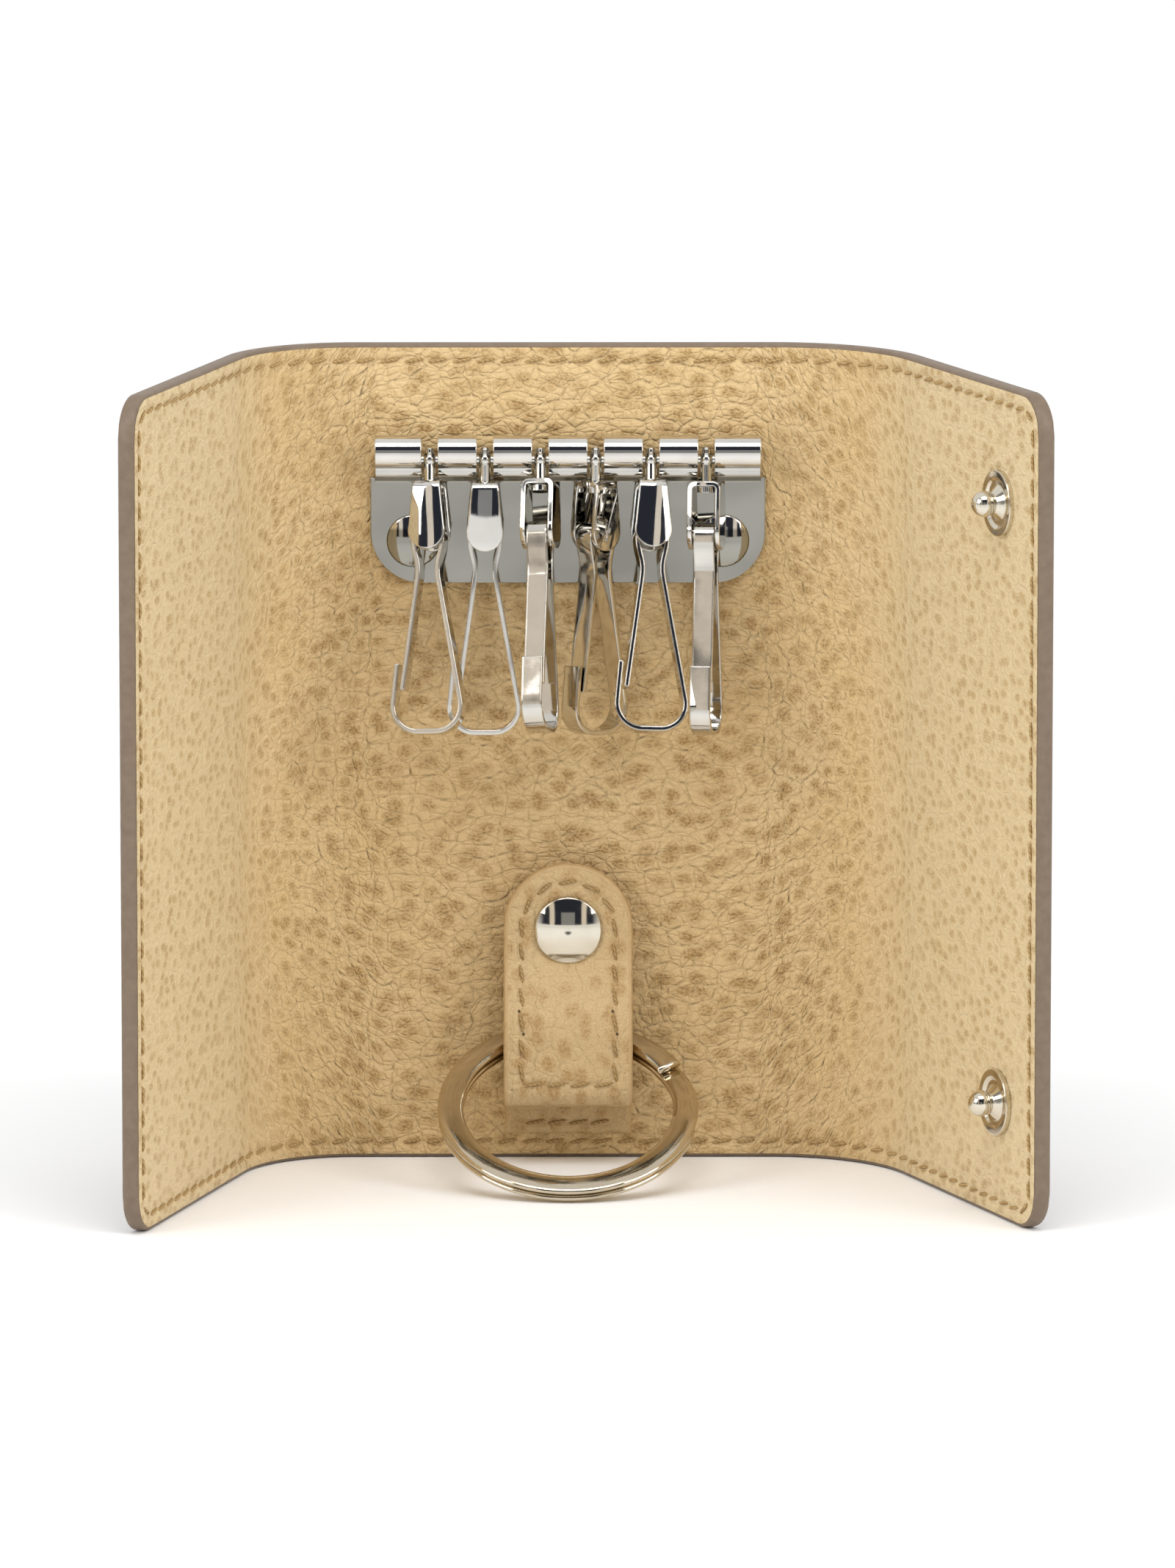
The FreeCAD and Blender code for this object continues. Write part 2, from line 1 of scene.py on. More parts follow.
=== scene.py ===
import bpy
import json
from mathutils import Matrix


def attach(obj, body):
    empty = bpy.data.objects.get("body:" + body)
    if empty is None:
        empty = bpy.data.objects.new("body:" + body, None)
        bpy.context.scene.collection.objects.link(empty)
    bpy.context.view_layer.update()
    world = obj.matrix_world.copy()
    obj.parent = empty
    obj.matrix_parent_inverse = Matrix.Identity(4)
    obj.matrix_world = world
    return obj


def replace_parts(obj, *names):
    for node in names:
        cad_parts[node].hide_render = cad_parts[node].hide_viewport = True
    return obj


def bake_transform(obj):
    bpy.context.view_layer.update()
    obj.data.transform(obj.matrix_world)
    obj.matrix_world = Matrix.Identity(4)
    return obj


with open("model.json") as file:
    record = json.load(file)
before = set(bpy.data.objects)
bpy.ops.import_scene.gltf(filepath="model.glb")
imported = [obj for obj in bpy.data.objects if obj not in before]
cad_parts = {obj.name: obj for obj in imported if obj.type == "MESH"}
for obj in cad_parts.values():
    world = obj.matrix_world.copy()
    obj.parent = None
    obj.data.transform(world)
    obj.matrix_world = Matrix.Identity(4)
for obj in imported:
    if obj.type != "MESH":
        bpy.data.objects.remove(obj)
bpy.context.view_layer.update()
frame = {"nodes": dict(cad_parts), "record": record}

import json
import math

import bpy
import numpy as np
from mathutils import Vector, noise

MM = 0.001

# Sizes of the leather, as in part.py, in millimetres
HEIGHT = 105.0
THICK = 2.1
CORNER = 5.0
PANEL = {-1: 26.9, 1: 25.8}
FLAP = {-1: 41.4, 1: 40.0}
BEND = {-1: 14.8, 1: 18.2}
TURN = {-1: math.radians(72.5), 1: math.radians(67.3)}
NAMES = {-1: "left", 1: "right"}
ARC_END = {side: PANEL[side] + BEND[side] * TURN[side] for side in NAMES}
EDGE = {side: ARC_END[side] + FLAP[side] for side in NAMES}
MIDDLE = {side: (PANEL[side] + ARC_END[side]) / 2 for side in NAMES}
CREASE_HALF = 5.0
EDGE_ROUND = 0.45
EDGE_BULGE = 0.07
HEM_INSET = 2.1
UV_SPAN = 100.0
HEM_PITCH = 3.05

# The grain grows finer by this share towards the flaps, from a place along the sheet and over a run
FLAP_GRAIN = 0.42
FLAP_GRAIN_START = 24.0
FLAP_GRAIN_RUN = 26.0

# Strap: its middle line as (distance out from the lining, height), with the bends between its runs
STRAP_HALF = 8.15
STRAP_LAYER = 0.9
STRAP_ROUTE = [(-0.3, 7.325), (7.6, 9.3), (7.6, 19.0), (3.8, 26.5), (3.8, 38.8)]
STRAP_BENDS = [1.6, 8.0, 8.0]
STRAP_TOP = 38.8
STRAP_SNAP = 30.4
STRAP_HEM = 2.2
STRAP_ROW = 11.1
CAP_RADIUS = 4.25

# Patch at the strap's foot: its stitch row, its lower and upper end, and its thin pillow
ANCHOR_ROW = 4.7
ANCHOR_HALF = 5.5
ANCHOR_ENDS = (3.0, 8.6)
ANCHOR_THICK = 0.7
ANCHOR_SINK = 0.2
ANCHOR_SEAM = 0.2
ANCHOR_EDGE = 0.7
ANCHOR_PITCH = 2.75
ANCHOR_RIM = 1.0
ANCHOR_RIM_COLUMNS = 9
ANCHOR_COLUMNS = 41
ANCHOR_ROWS = 33

# Holes in the left flap's cover for the sockets that take the right flap's studs
SOCKET_ALONG = -70.75
SOCKET_HEIGHTS = (14.65, 90.35)
SOCKET_HOLE = 3.0

# Split ring, as in part.py: two turns of a flat coil, with the ramp from one to the other
RING_RADIUS = 16.5
RING_BAND = 3.2
RING_COIL = 0.95
RING_LEVEL = 0.525
RING_LEAN = math.radians(30.0)
RING_CENTRE = (0.0, -15.189, 9.166)
RING_TURNS = (30.0, 350.0, 390.0, 707.0)
RING_STEPS = (161, 33, 160)
RING_SPOKES = 32
RING_SQUARENESS = 0.7


# Material helpers
def new_material(name):
    material = bpy.data.materials.new(name)
    material.use_nodes = True
    tree = material.node_tree
    return material, tree, tree.nodes["Principled BSDF"]


def add_node(tree, kind, inputs=None, **settings):
    node = tree.nodes.new(kind)
    for key, value in settings.items():
        setattr(node, key, value)
    for key, value in (inputs or {}).items():
        if isinstance(value, bpy.types.NodeSocket):
            tree.links.new(value, node.inputs[key])
        else:
            node.inputs[key].default_value = value
    return node


def surface_map(tree, source="UV", scale=(1.0, 1.0, 1.0)):
    """Scaled texture coordinates: the flat UV, or metres in the piece's own frame."""
    coordinates = add_node(tree, "ShaderNodeTexCoord")
    mapping = add_node(tree, "ShaderNodeMapping",
                       {"Vector": coordinates.outputs[source], "Scale": scale})
    return mapping.outputs["Vector"]


def ramp(tree, source, *stops):
    """Colour ramp from (position, grey or colour) stops."""
    node = add_node(tree, "ShaderNodeValToRGB", {"Fac": source})
    elements = node.color_ramp.elements
    while len(elements) < len(stops):
        elements.new(0.5)
    for element, (position, colour) in zip(elements, stops):
        element.position = position
        element.color = (*colour, 1.0) if isinstance(colour, tuple) else (colour, colour, colour, 1.0)
    return node.outputs["Color"]


def mixed(tree, blend, factor, first, second):
    """Colour mix of outputs or plain colours; the factor is a number or an output."""
    node = add_node(tree, "ShaderNodeMix", {"Factor": factor}, data_type="RGBA", blend_type=blend)
    colours = [socket for socket in node.inputs if socket.type == "RGBA"]
    for socket, value in zip(colours, (first, second)):
        if isinstance(value, tuple):
            socket.default_value = (*value, 1.0)
        else:
            tree.links.new(value, socket)
    return next(output for output in node.outputs if output.type == "RGBA")


def noise_value(tree, vector, scale, detail, roughness=0.5):
    node = add_node(tree, "ShaderNodeTexNoise", {"Vector": vector, "Scale": scale, "Detail": detail,
                                                 "Roughness": roughness})
    return node.outputs["Fac"]


def bumped(tree, shader, normal, *layers):
    """Chains (height output, strength, distance) bumps, from a first normal or none, into the shader."""
    for height, strength, distance in layers:
        inputs = {"Height": height, "Strength": strength, "Distance": distance}
        if normal is not None:
            inputs["Normal"] = normal
        normal = add_node(tree, "ShaderNodeBump", inputs).outputs["Normal"]
    tree.links.new(normal, shader.inputs["Normal"])


# Leather grain: how far the pattern strays in the UV span, finer cells per pebble, and depths in metres
SWAY = (0.030, 0.020, 0.0)
PORES_PER_PEBBLE = 6.5
WRINKLES_PER_PEBBLE = 2.6
PEBBLE_DEPTH = 0.00024
WRINKLE_DEPTH = 0.00011
PORE_DEPTH = 0.0001
GRAIN_DEPTH = 0.0001


def leather(name, base, light, pale_lit_tone, spot, pores, grain, roughness, smooth_beyond):
    """Pebbled leather: clusters of dark pores, creases between the pebbles darkened with painted shade, and
    fine grain.

    grain is the number of pebbles across and up the UV span. Past smooth_beyond, across, the leather is
    painted paler, as painted light for the flaps, which are lit more than the shaded panel, and its creases
    fade; at 1 they never do."""
    material, tree, shader = new_material(name)
    vector = surface_map(tree)
    wander = add_node(tree, "ShaderNodeTexNoise", {"Vector": vector, "Scale": 18.0, "Detail": 4.0})
    swayed = add_node(tree, "ShaderNodeVectorMath",
                      {0: wander.outputs["Color"], 1: SWAY, 2: vector},
                      operation="MULTIPLY_ADD").outputs["Vector"]
    stretched = add_node(tree, "ShaderNodeMapping", {"Vector": swayed, "Scale": (*grain, 1.0)})

    def cells(feature, finer):
        node = add_node(tree, "ShaderNodeTexVoronoi",
                        {"Vector": stretched.outputs["Vector"], "Scale": finer, "Randomness": 0.9},
                        feature=feature, voronoi_dimensions="2D")
        return node.outputs["Distance"]

    def times(first, second):
        return mixed(tree, "MULTIPLY", 1.0, first, second)

    border = cells("DISTANCE_TO_EDGE", 1.0)
    dots = ramp(tree, cells("F1", PORES_PER_PEBBLE), (0.20, 1.0), (0.55, 0.45))
    pore = times(ramp(tree, cells("F1", 1.0), (0.16, 1.0), (0.42, 0.0)), dots)
    patches = ramp(tree, noise_value(tree, vector, 9.0, 3.0), (0.33, pores * 0.45), (0.62, pores))
    across = add_node(tree, "ShaderNodeSeparateXYZ", {"Vector": vector}).outputs["X"]
    away = add_node(tree, "ShaderNodeMath", {0: across}, operation="ABSOLUTE").outputs["Value"]
    creased = ramp(tree, away, (smooth_beyond, 1.0), (smooth_beyond + 0.30, 0.5))
    spotting = times(patches, ramp(tree, away, (smooth_beyond, 1.0), (smooth_beyond + 0.35, 0.66)))
    # Painted light: the sheet's outer parts, the flaps, fade to the paler tone that their stronger light
    # gives them
    outer = ramp(tree, away, (smooth_beyond + 0.18, 0.0), (smooth_beyond + 0.42, 1.0))
    cloud = ramp(tree, noise_value(tree, vector, 5.0, 5.0, 0.6), (0.32, 0.0), (0.7, 1.0))
    tone = mixed(tree, "MIX", outer, mixed(tree, "MIX", cloud, base, light), pale_lit_tone)
    spotted = mixed(tree, "MIX", times(pore, spotting), tone, spot)
    # Painted shade: the creases between the pebbles are darkened towards the spot colour
    crease = times(creased, ramp(tree, border, (0.0, 0.18), (0.07, 0.0)))
    fine = noise_value(tree, vector, 480.0, 4.0, 0.75)
    crease_shaded = mixed(tree, "MIX", crease, spotted, spot)
    grained = mixed(tree, "SOFT_LIGHT", 0.62, crease_shaded, ramp(tree, fine, (0.3, 0.2), (0.7, 0.8)))
    tree.links.new(grained, shader.inputs["Base Color"])
    shader.inputs["Roughness"].default_value = roughness
    shader.inputs["Specular IOR Level"].default_value = 0.35
    pebble = ramp(tree, border, (0.0, 0.0), (0.06, 0.4), (0.2, 0.75), (0.45, 1.0))
    wrinkle = ramp(tree, cells("DISTANCE_TO_EDGE", WRINKLES_PER_PEBBLE),
                   (0.0, 0.0), (0.12, 0.6), (0.3, 1.0))
    bumped(tree, shader, None, (pebble, creased, PEBBLE_DEPTH), (wrinkle, creased, WRINKLE_DEPTH),
           (pore, 0.4, -PORE_DEPTH), (fine, 0.4, GRAIN_DEPTH))
    return material


# Each leather's third colour is its paler outer tone, painted light: for the lining, the colour of its
# better-lit flaps
LINING = leather("lining_leather", (0.670, 0.475, 0.228), (0.705, 0.520, 0.276), (0.710, 0.566, 0.338),
                 (0.400, 0.248, 0.092), 1.25, (29.0, 41.0), 0.5, 0.26)
STRAP = leather("strap_leather", (0.550, 0.395, 0.200), (0.595, 0.440, 0.236), (0.570, 0.412, 0.212),
                (0.42, 0.262, 0.104), 1.6, (38.0, 31.0), 0.5, 0.1)
COVER = leather("cover_leather", (0.165, 0.118, 0.088), (0.205, 0.150, 0.114), (0.18, 0.13, 0.098),
                (0.095, 0.066, 0.048), 0.7, (40.0, 44.0), 0.46, 1.0)


def edge_paint(name, colour, dark, roughness):
    """Painted cut edge, with a faint uneven coat."""
    material, tree, shader = new_material(name)
    vector = surface_map(tree, "Object")
    coat = noise_value(tree, vector, 900.0, 3.0)
    tree.links.new(mixed(tree, "MIX", ramp(tree, coat, (0.3, 0.0), (0.7, 1.0)), colour, dark),
                   shader.inputs["Base Color"])
    shader.inputs["Roughness"].default_value = roughness
    bumped(tree, shader, None, (coat, 0.15, 0.0001))
    return material


EDGE_PAINT = edge_paint("edge_paint", (0.200, 0.145, 0.098), (0.166, 0.118, 0.078), 0.5)
STRAP_EDGE = edge_paint("strap_edge", (0.56, 0.395, 0.20), (0.49, 0.335, 0.16), 0.55)


def thread_material(name, dark, light):
    """Twisted thread: fine slanted ridges along each stitch; its darker bands are painted shade in the
    grooves between the ridges and its lighter bands painted highlight on them.
    """
    material, tree, shader = new_material(name)
    vector = surface_map(tree, "Object")
    wave = add_node(tree, "ShaderNodeTexWave", {"Vector": vector, "Scale": 900.0, "Distortion": 1.5},
                    wave_type="BANDS", bands_direction="DIAGONAL")
    # Painted shade and highlight: the colour follows the ridges' height, dark in the grooves and light on the
    # tops
    tree.links.new(mixed(tree, "MIX", ramp(tree, wave.outputs["Fac"], (0.2, 0.0), (0.8, 1.0)), dark, light),
                   shader.inputs["Base Color"])
    shader.inputs["Roughness"].default_value = 0.6
    bumped(tree, shader, None, (wave.outputs["Fac"], 0.5, 0.0001))
    return material


THREAD = thread_material("thread", (0.33, 0.205, 0.072), (0.47, 0.32, 0.135))
STRAP_THREAD = thread_material("strap_thread", (0.29, 0.176, 0.060), (0.43, 0.29, 0.118))
COVER_THREAD = thread_material("cover_thread", (0.10, 0.072, 0.052), (0.17, 0.125, 0.092))


# Mesh helpers
def add_mesh(name, vertices, faces, material, normals=None, uv=None):
    """Mesh object from millimetre points, with optional vertex normals and a UV per vertex."""
    mesh = bpy.data.meshes.new(name)
    mesh.from_pydata((np.asarray(vertices, float) * MM).tolist(), [], faces)
    mesh.materials.append(material)
    mesh.polygons.foreach_set("use_smooth", [True] * len(mesh.polygons))
    if uv is not None:
        layer = mesh.uv_layers.new(name="flat")
        corners = np.empty(len(mesh.loops), dtype=np.int32)
        mesh.loops.foreach_get("vertex_index", corners)
        layer.data.foreach_set("uv", np.asarray(uv, np.float32)[corners].ravel())
    mesh.update()
    if normals is not None:
        mesh.normals_split_custom_set_from_vertices(np.asarray(normals, float).tolist())
    piece = bpy.data.objects.new(name, mesh)
    bpy.context.collection.objects.link(piece)
    return piece


def grid_faces(rows, columns, flip):
    faces = []
    for row in range(rows - 1):
        for column in range(columns - 1):
            a = row * columns + column
            face = (a, a + 1, a + columns + 1, a + columns)
            faces.append(face[::-1] if flip else face)
    return faces


def grid_normals(points):
    """Unit normals of a (rows, columns, 3) grid, by differences along both ways."""
    along = np.gradient(points, axis=1)
    up = np.gradient(points, axis=0)
    normal = np.cross(along, up)
    return normal / np.linalg.norm(normal, axis=2, keepdims=True)


def fractal(points, scale, octaves):
    """Smooth seeded noise at (x, y, z) points, from about -1 to 1."""
    return np.array([noise.fractal(Vector(point) * scale, 1.0, 2.0, octaves, noise_basis="PERLIN_ORIGINAL")
                     for point in points])


# Case leather: one flat sheet in (u, z), folded round the two bends
def place(u, depth, z):
    """Points of the folded sheet: u along the lining's face from the middle, depth behind that face."""
    u, depth, z = np.broadcast_arrays(np.asarray(u, float), depth, z)
    points = np.empty(u.shape + (3,))
    away = np.abs(u)
    for side in NAMES:
        on_side = u < 0 if side < 0 else u >= 0
        turn = np.clip((away - PANEL[side]) / BEND[side], 0, TURN[side])
        flat = np.minimum(away, PANEL[side])
        run = np.maximum(away - ARC_END[side], 0)
        reach = BEND[side] + depth
        x = side * (flat + reach * np.sin(turn) + run * np.cos(turn))
        y = reach * np.cos(turn) - BEND[side] - run * np.sin(turn)
        points[on_side] = np.stack([x, y, z], axis=-1)[on_side]
    return points


def inset_of(u, z):
    """Distance inside the sheet's outline, a rectangle with rounded outer corners."""
    low, high = -EDGE[-1], EDGE[1]
    across = np.abs(u - (low + high) / 2) - ((high - low) / 2 - CORNER)
    up = np.abs(z - HEIGHT / 2) - (HEIGHT / 2 - CORNER)
    outside = np.hypot(np.maximum(across, 0), np.maximum(up, 0))
    return CORNER - outside - np.minimum(np.maximum(across, up), 0)


def outward(u, z):
    """Unit direction away from the sheet's outline in (u, z)."""
    step = 0.01
    du = inset_of(u - step, z) - inset_of(u + step, z)
    dz = inset_of(u, z - step) - inset_of(u, z + step)
    length = np.hypot(du, dz)
    return du / length, dz / length


def steps(start, end, fine_start, fine_end, fine, coarse):
    """Places from start to end: fine steps over a stretch at each end, coarse ones between."""
    head = np.linspace(0, fine_start, int(round(fine_start / fine)), endpoint=False)
    tail = np.linspace(0, fine_end, int(round(fine_end / fine)), endpoint=False)
    inner_start, inner_end = start + fine_start, end - fine_end
    count = max(2, int(round((inner_end - inner_start) / coarse)))
    middle = np.linspace(inner_start, inner_end, count + 1)
    return np.concatenate([start + head, middle, (end - tail)[::-1]])


CUTS = [-EDGE[-1] + EDGE_ROUND, -MIDDLE[-1], -PANEL[-1] + CREASE_HALF,
        PANEL[1] - CREASE_HALF, MIDDLE[1], EDGE[1] - EDGE_ROUND]
COLUMN_STEP = 0.75
FINE_STEP = 0.35
RIM = 4.9


def sheet_columns():
    spans = []
    for index, (start, end) in enumerate(zip(CUTS, CUTS[1:])):
        fine_start = RIM if index == 0 else 0
        fine_end = RIM if index == len(CUTS) - 2 else 0
        spans.append(steps(start, end, fine_start, fine_end, FINE_STEP, COLUMN_STEP))
    bounds = np.cumsum([0] + [len(span) - 1 for span in spans])
    return np.concatenate([span[:-1] for span in spans] + [spans[-1][-1:]]), bounds


def sheet_grid():
    """(u, z) grid that fills the outline less its rounded edge."""
    columns, bounds = sheet_columns()
    share = steps(EDGE_ROUND, HEIGHT - EDGE_ROUND, RIM, RIM, FINE_STEP, COLUMN_STEP)
    share = (share - share[0]) / (share[-1] - share[0])
    low, high = -EDGE[-1], EDGE[1]
    into_corner = np.maximum(np.abs(columns - (low + high) / 2) - ((high - low) / 2 - CORNER), 0)
    round_now = CORNER - EDGE_ROUND
    lift = CORNER - np.sqrt(np.maximum(round_now ** 2 - into_corner ** 2, 0))
    bottom = np.where(into_corner > 0, lift, EDGE_ROUND)
    z = bottom + share[:, None] * (HEIGHT - 2 * bottom)
    u = np.broadcast_to(columns, z.shape)
    return u, z, bounds


def bell(value, centre, width):
    """1 at the centre, falling off smoothly on both sides."""
    return np.exp(-((value - centre) / width) ** 2)


# Relief of the sheet: the stitched rim's puff and seam, and the heights of waves, wrinkles and pebbles
RIM_INSET = 1.1
RIM_WIDTH = 0.9
HEM_PUFF = 0.11
HEM_PULL = 0.035
SEAM_DEPTH = 0.17
SEAM_WIDTH = 0.4
RELIEF_START = 2.4
RELIEF_RUN = 3.0
LINING_WAVE = 0.12
COVER_WAVE = 0.09
BEND_WRINKLE = 0.05
PEBBLE_RISE = 0.045
BEND_CENTRE = 38.0
BEND_REACH = 13.0
COVER_SEED = 50.0


def hem_rise(u, z, inset):
    """Stitched rim: puffed between the edge and the stitches, drawn down along the seam."""
    on_side = np.minimum(u + EDGE[-1], EDGE[1] - u) < np.minimum(z, HEIGHT - z)
    pull = np.cos(2 * math.pi * np.where(on_side, z, u) / HEM_PITCH)
    puff = (HEM_PUFF + HEM_PULL * pull) * np.clip(inset / RIM_INSET, 0, 1) * bell(inset, RIM_INSET, RIM_WIDTH)
    return puff - SEAM_DEPTH * bell(inset, HEM_INSET, SEAM_WIDTH)


def lining_height(u, z):
    """Rise of the lining towards the viewer: hem, soft waves, bend wrinkles and pebbles."""
    inset = inset_of(u, z)
    rise = hem_rise(u, z, inset)
    flat = np.stack([u.ravel(), z.ravel(), np.zeros(u.size)], axis=1)
    fade = np.clip((inset - RELIEF_START) / RELIEF_RUN, 0, 1)
    waves = fractal(flat, 0.055, 3).reshape(u.shape)
    stretched = flat * np.array([1.0, 0.28, 1.0])
    wrinkles = fractal(stretched, 0.42, 2).reshape(u.shape)
    bent = np.clip(1.4 - np.abs(np.abs(u) - BEND_CENTRE) / BEND_REACH, 0, 1)
    pebble = fractal(flat, 0.36, 2).reshape(u.shape)
    return rise + fade * (LINING_WAVE * waves + BEND_WRINKLE * bent * wrinkles + PEBBLE_RISE * pebble)


def cover_height(u, z):
    """Rise of the cover away from the lining: hem, soft waves and pebbles."""
    inset = inset_of(u, z)
    flat = np.stack([u.ravel(), z.ravel(), np.full(u.size, COVER_SEED)], axis=1)
    fade = np.clip((inset - RELIEF_START) / RELIEF_RUN, 0, 1)
    rise = hem_rise(u, z, inset)
    waves = fractal(flat, 0.05, 3).reshape(u.shape)
    pebble = fractal(flat, 0.36, 2).reshape(u.shape)
    return rise + fade * (COVER_WAVE * waves + PEBBLE_RISE * pebble)


# The sheet's pieces from left to right, and the solids that each one stands for
PIECES = ["left_flap", "left_bend", "middle", "right_bend", "right_flap"]
NODES = ["left_flap", "left_fold", "panel", "right_fold", "right_flap"]


def carry(piece, index):
    """Rides the middle piece on the panel and fixes the others in place where they were built."""
    if index == 2:
        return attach(piece, "panel")
    side = -1 if index < 2 else 1
    outer = index in (0, 4)
    crease = ARC_END[side] if outer else PANEL[side]
    ends = [Vector(place(side * (crease + reach), 0, 0)) * MM for reach in (-CREASE_HALF, CREASE_HALF)]
    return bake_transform(piece)


def edge_chain(u, z, index):
    """Outline places of one piece of the sheet, in order, as lists of (u, z) rows."""
    bottom = np.stack([u[0], z[0]], axis=1)
    top = np.stack([u[-1], z[-1]], axis=1)
    if index == 0:
        side = np.stack([u[:, 0], z[:, 0]], axis=1)
        return [np.concatenate([bottom[::-1], side[1:], top[1:]])]
    if index == 4:
        side = np.stack([u[:, -1], z[:, -1]], axis=1)
        return [np.concatenate([bottom, side[1:], top[::-1][1:]])]
    return [bottom, top]


def edge_profile():
    """(outward, depth) points round the sheet's edge, from the lining's face to the cover's."""
    quarter = np.linspace(0, math.pi / 2, 5)
    front = [(EDGE_ROUND * math.sin(a), EDGE_ROUND * (1 - math.cos(a))) for a in quarter]
    middle = [(EDGE_ROUND + EDGE_BULGE, THICK / 2)]
    back = [(out, THICK - depth) for out, depth in reversed(front)]
    return front + middle + back


def add_edge(index, u, z):
    vertices, faces = [], []
    profile = edge_profile()
    for chain in edge_chain(u, z, index):
        cu, cz = chain[:, 0], chain[:, 1]
        nu, nz = outward(cu, cz)
        first = len(vertices)
        for out, depth in profile:
            vertices.extend(place(cu + nu * out, depth, cz + nz * out).tolist())
        forward = index == 4 or (index != 0 and cz[0] < HEIGHT / 2)
        for face in grid_faces(len(profile), len(chain), not forward):
            faces.append([first + corner for corner in face])
    piece = add_mesh("edge_" + PIECES[index], vertices, faces, EDGE_PAINT)
    return carry(piece, index)


def socket_holes(faces, u, z):
    """The faces of the left flap's cover that stay when the sockets' holes are cut."""
    along, up = u.ravel(), z.ravel()
    kept = []
    for face in faces:
        middle = along[list(face)].mean(), up[list(face)].mean()
        if all(math.dist(middle, (SOCKET_ALONG, height)) > SOCKET_HOLE for height in SOCKET_HEIGHTS):
            kept.append(face)
    return kept


def add_case():
    u, z, bounds = sheet_grid()
    layers = (("lining", LINING, place(u, -lining_height(u, z), z), False, "lining_leather"),
              ("cover", COVER, place(u, THICK + cover_height(u, z), z), True, "cover_leather"))
    for layer, material, points, flip, slot in layers:
        normals = grid_normals(points) * (-1 if flip else 1)
        for index in range(len(PIECES)):
            part = slice(bounds[index], bounds[index + 1] + 1)
            patch = points[:, part].reshape(-1, 3)
            shape = z[:, part].shape
            onto_flap = np.clip((np.abs(u[:, part]) - FLAP_GRAIN_START) / FLAP_GRAIN_RUN, 0, 1)
            finer = 1 + FLAP_GRAIN * onto_flap
            uv = np.stack([u[:, part] * finer, (z[:, part] - HEIGHT / 2) * finer], axis=2)
            uv = uv.reshape(-1, 2) / UV_SPAN
            faces = grid_faces(*shape, flip)
            if (layer, index) == ("cover", 0):
                faces = socket_holes(faces, u[:, part], z[:, part])
            piece = add_mesh(layer + "_" + PIECES[index], patch, faces, material,
                             normals[:, part].reshape(-1, 3), uv)
            carry(piece, index)
            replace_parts(piece, layer + "_" + NODES[index])
    for index in range(len(PIECES)):
        part = slice(bounds[index], bounds[index + 1] + 1)
        add_edge(index, u[:, part], z[:, part])


add_case()


# Strap: one thick strip along its route, cut into root, fold and leaf where the strap bends
def straight(start, end):
    """Points after start on the way to end, close together."""
    count = int(np.linalg.norm(end - start) / 0.2) + 2
    return [start + (end - start) * share for share in np.linspace(0, 1, count)[1:]]


def strap_path():
    """Dense middle line of the strap, as (distance out, height) rows, with the ends of its first bend."""
    points, marks = [np.array(STRAP_ROUTE[0])], []
    corners = [np.array(corner) for corner in STRAP_ROUTE]
    for before, corner, after, bend in zip(corners, corners[1:], corners[2:], STRAP_BENDS):
        into = (corner - before) / np.linalg.norm(corner - before)
        out = (after - corner) / np.linalg.norm(after - corner)
        half = math.acos(np.clip(into @ out, -1, 1)) / 2
        setback = bend * math.tan(half)
        centre = corner + (out - into) / np.linalg.norm(out - into) * bend / math.cos(half)
        first, last = corner - into * setback, corner + out * setback
        points += straight(points[-1], first)
        marks.append(len(points) - 1)
        spoke = first - centre
        turn = 2 * half * math.copysign(1, into[0] * out[1] - into[1] * out[0])
        for angle in np.linspace(0, turn, 17)[1:]:
            c, s = math.cos(angle), math.sin(angle)
            points.append(centre + np.array([c * spoke[0] - s * spoke[1], s * spoke[0] + c * spoke[1]]))
        marks.append(len(points) - 1)
    points += straight(points[-1], corners[-1])
    points = np.array(points)
    lengths = np.concatenate([[0], np.cumsum(np.linalg.norm(np.diff(points, axis=0), axis=1))])
    return points, lengths, lengths[marks[0]], lengths[marks[1]]


PATH, PATH_LENGTHS, FOLD_START, FOLD_END = strap_path()
PATH_END = PATH_LENGTHS[-1]
ARCH = PATH_END - STRAP_HALF
SNAP_ALONG = PATH_END - (STRAP_TOP - STRAP_SNAP)
ROW_ALONG = FOLD_END + STRAP_ROW - np.interp(FOLD_END, PATH_LENGTHS, PATH[:, 1])


def strap_place(x, along, offset):
    """Points of the strap: across, along its route, and off its middle line towards the front."""
    x, along, offset = np.broadcast_arrays(np.asarray(x, float), along, offset)
    step = 0.15
    out, up = (np.interp(along, PATH_LENGTHS, PATH[:, axis]) for axis in (0, 1))
    ahead = np.minimum(along + step, PATH_END)
    behind = np.maximum(along - step, 0)
    run = [np.interp(ahead, PATH_LENGTHS, PATH[:, axis]) - np.interp(behind, PATH_LENGTHS, PATH[:, axis])
           for axis in (0, 1)]
    length = np.hypot(*run)
    beyond = np.maximum(along - PATH_END, 0)
    return np.stack([x, -(out + offset * run[1] / length), up + beyond - offset * run[0] / length], axis=-1)


def strap_inset(x, along):
    """Distance inside the strap's outline, straight below and round at its top."""
    return STRAP_HALF - np.where(along > ARCH, np.hypot(x, along - ARCH), np.abs(x))


# Relief of the strap, where its grain starts in the UV, and its grid's counts
STRAP_PUFF = 0.12
STRAP_SEAM = 0.16
DISH_DEPTH = 0.22
DISH_REACH = 0.9
STRAP_WAVE = 0.07
STRAP_SEED = 90.0
STRAP_UV_START = 0.37
ANCHOR_UV_START = 0.61
ROW_SPARE = 0.5
ROW_FADE = 0.6
GROOVE_RUN = 1.2
STRAP_RELIEF_START = 1.5
STRAP_RELIEF_RUN = 2.0
STRAP_COLUMNS = 45
LEAF_ROWS = 90
FOOT_ROWS = 14


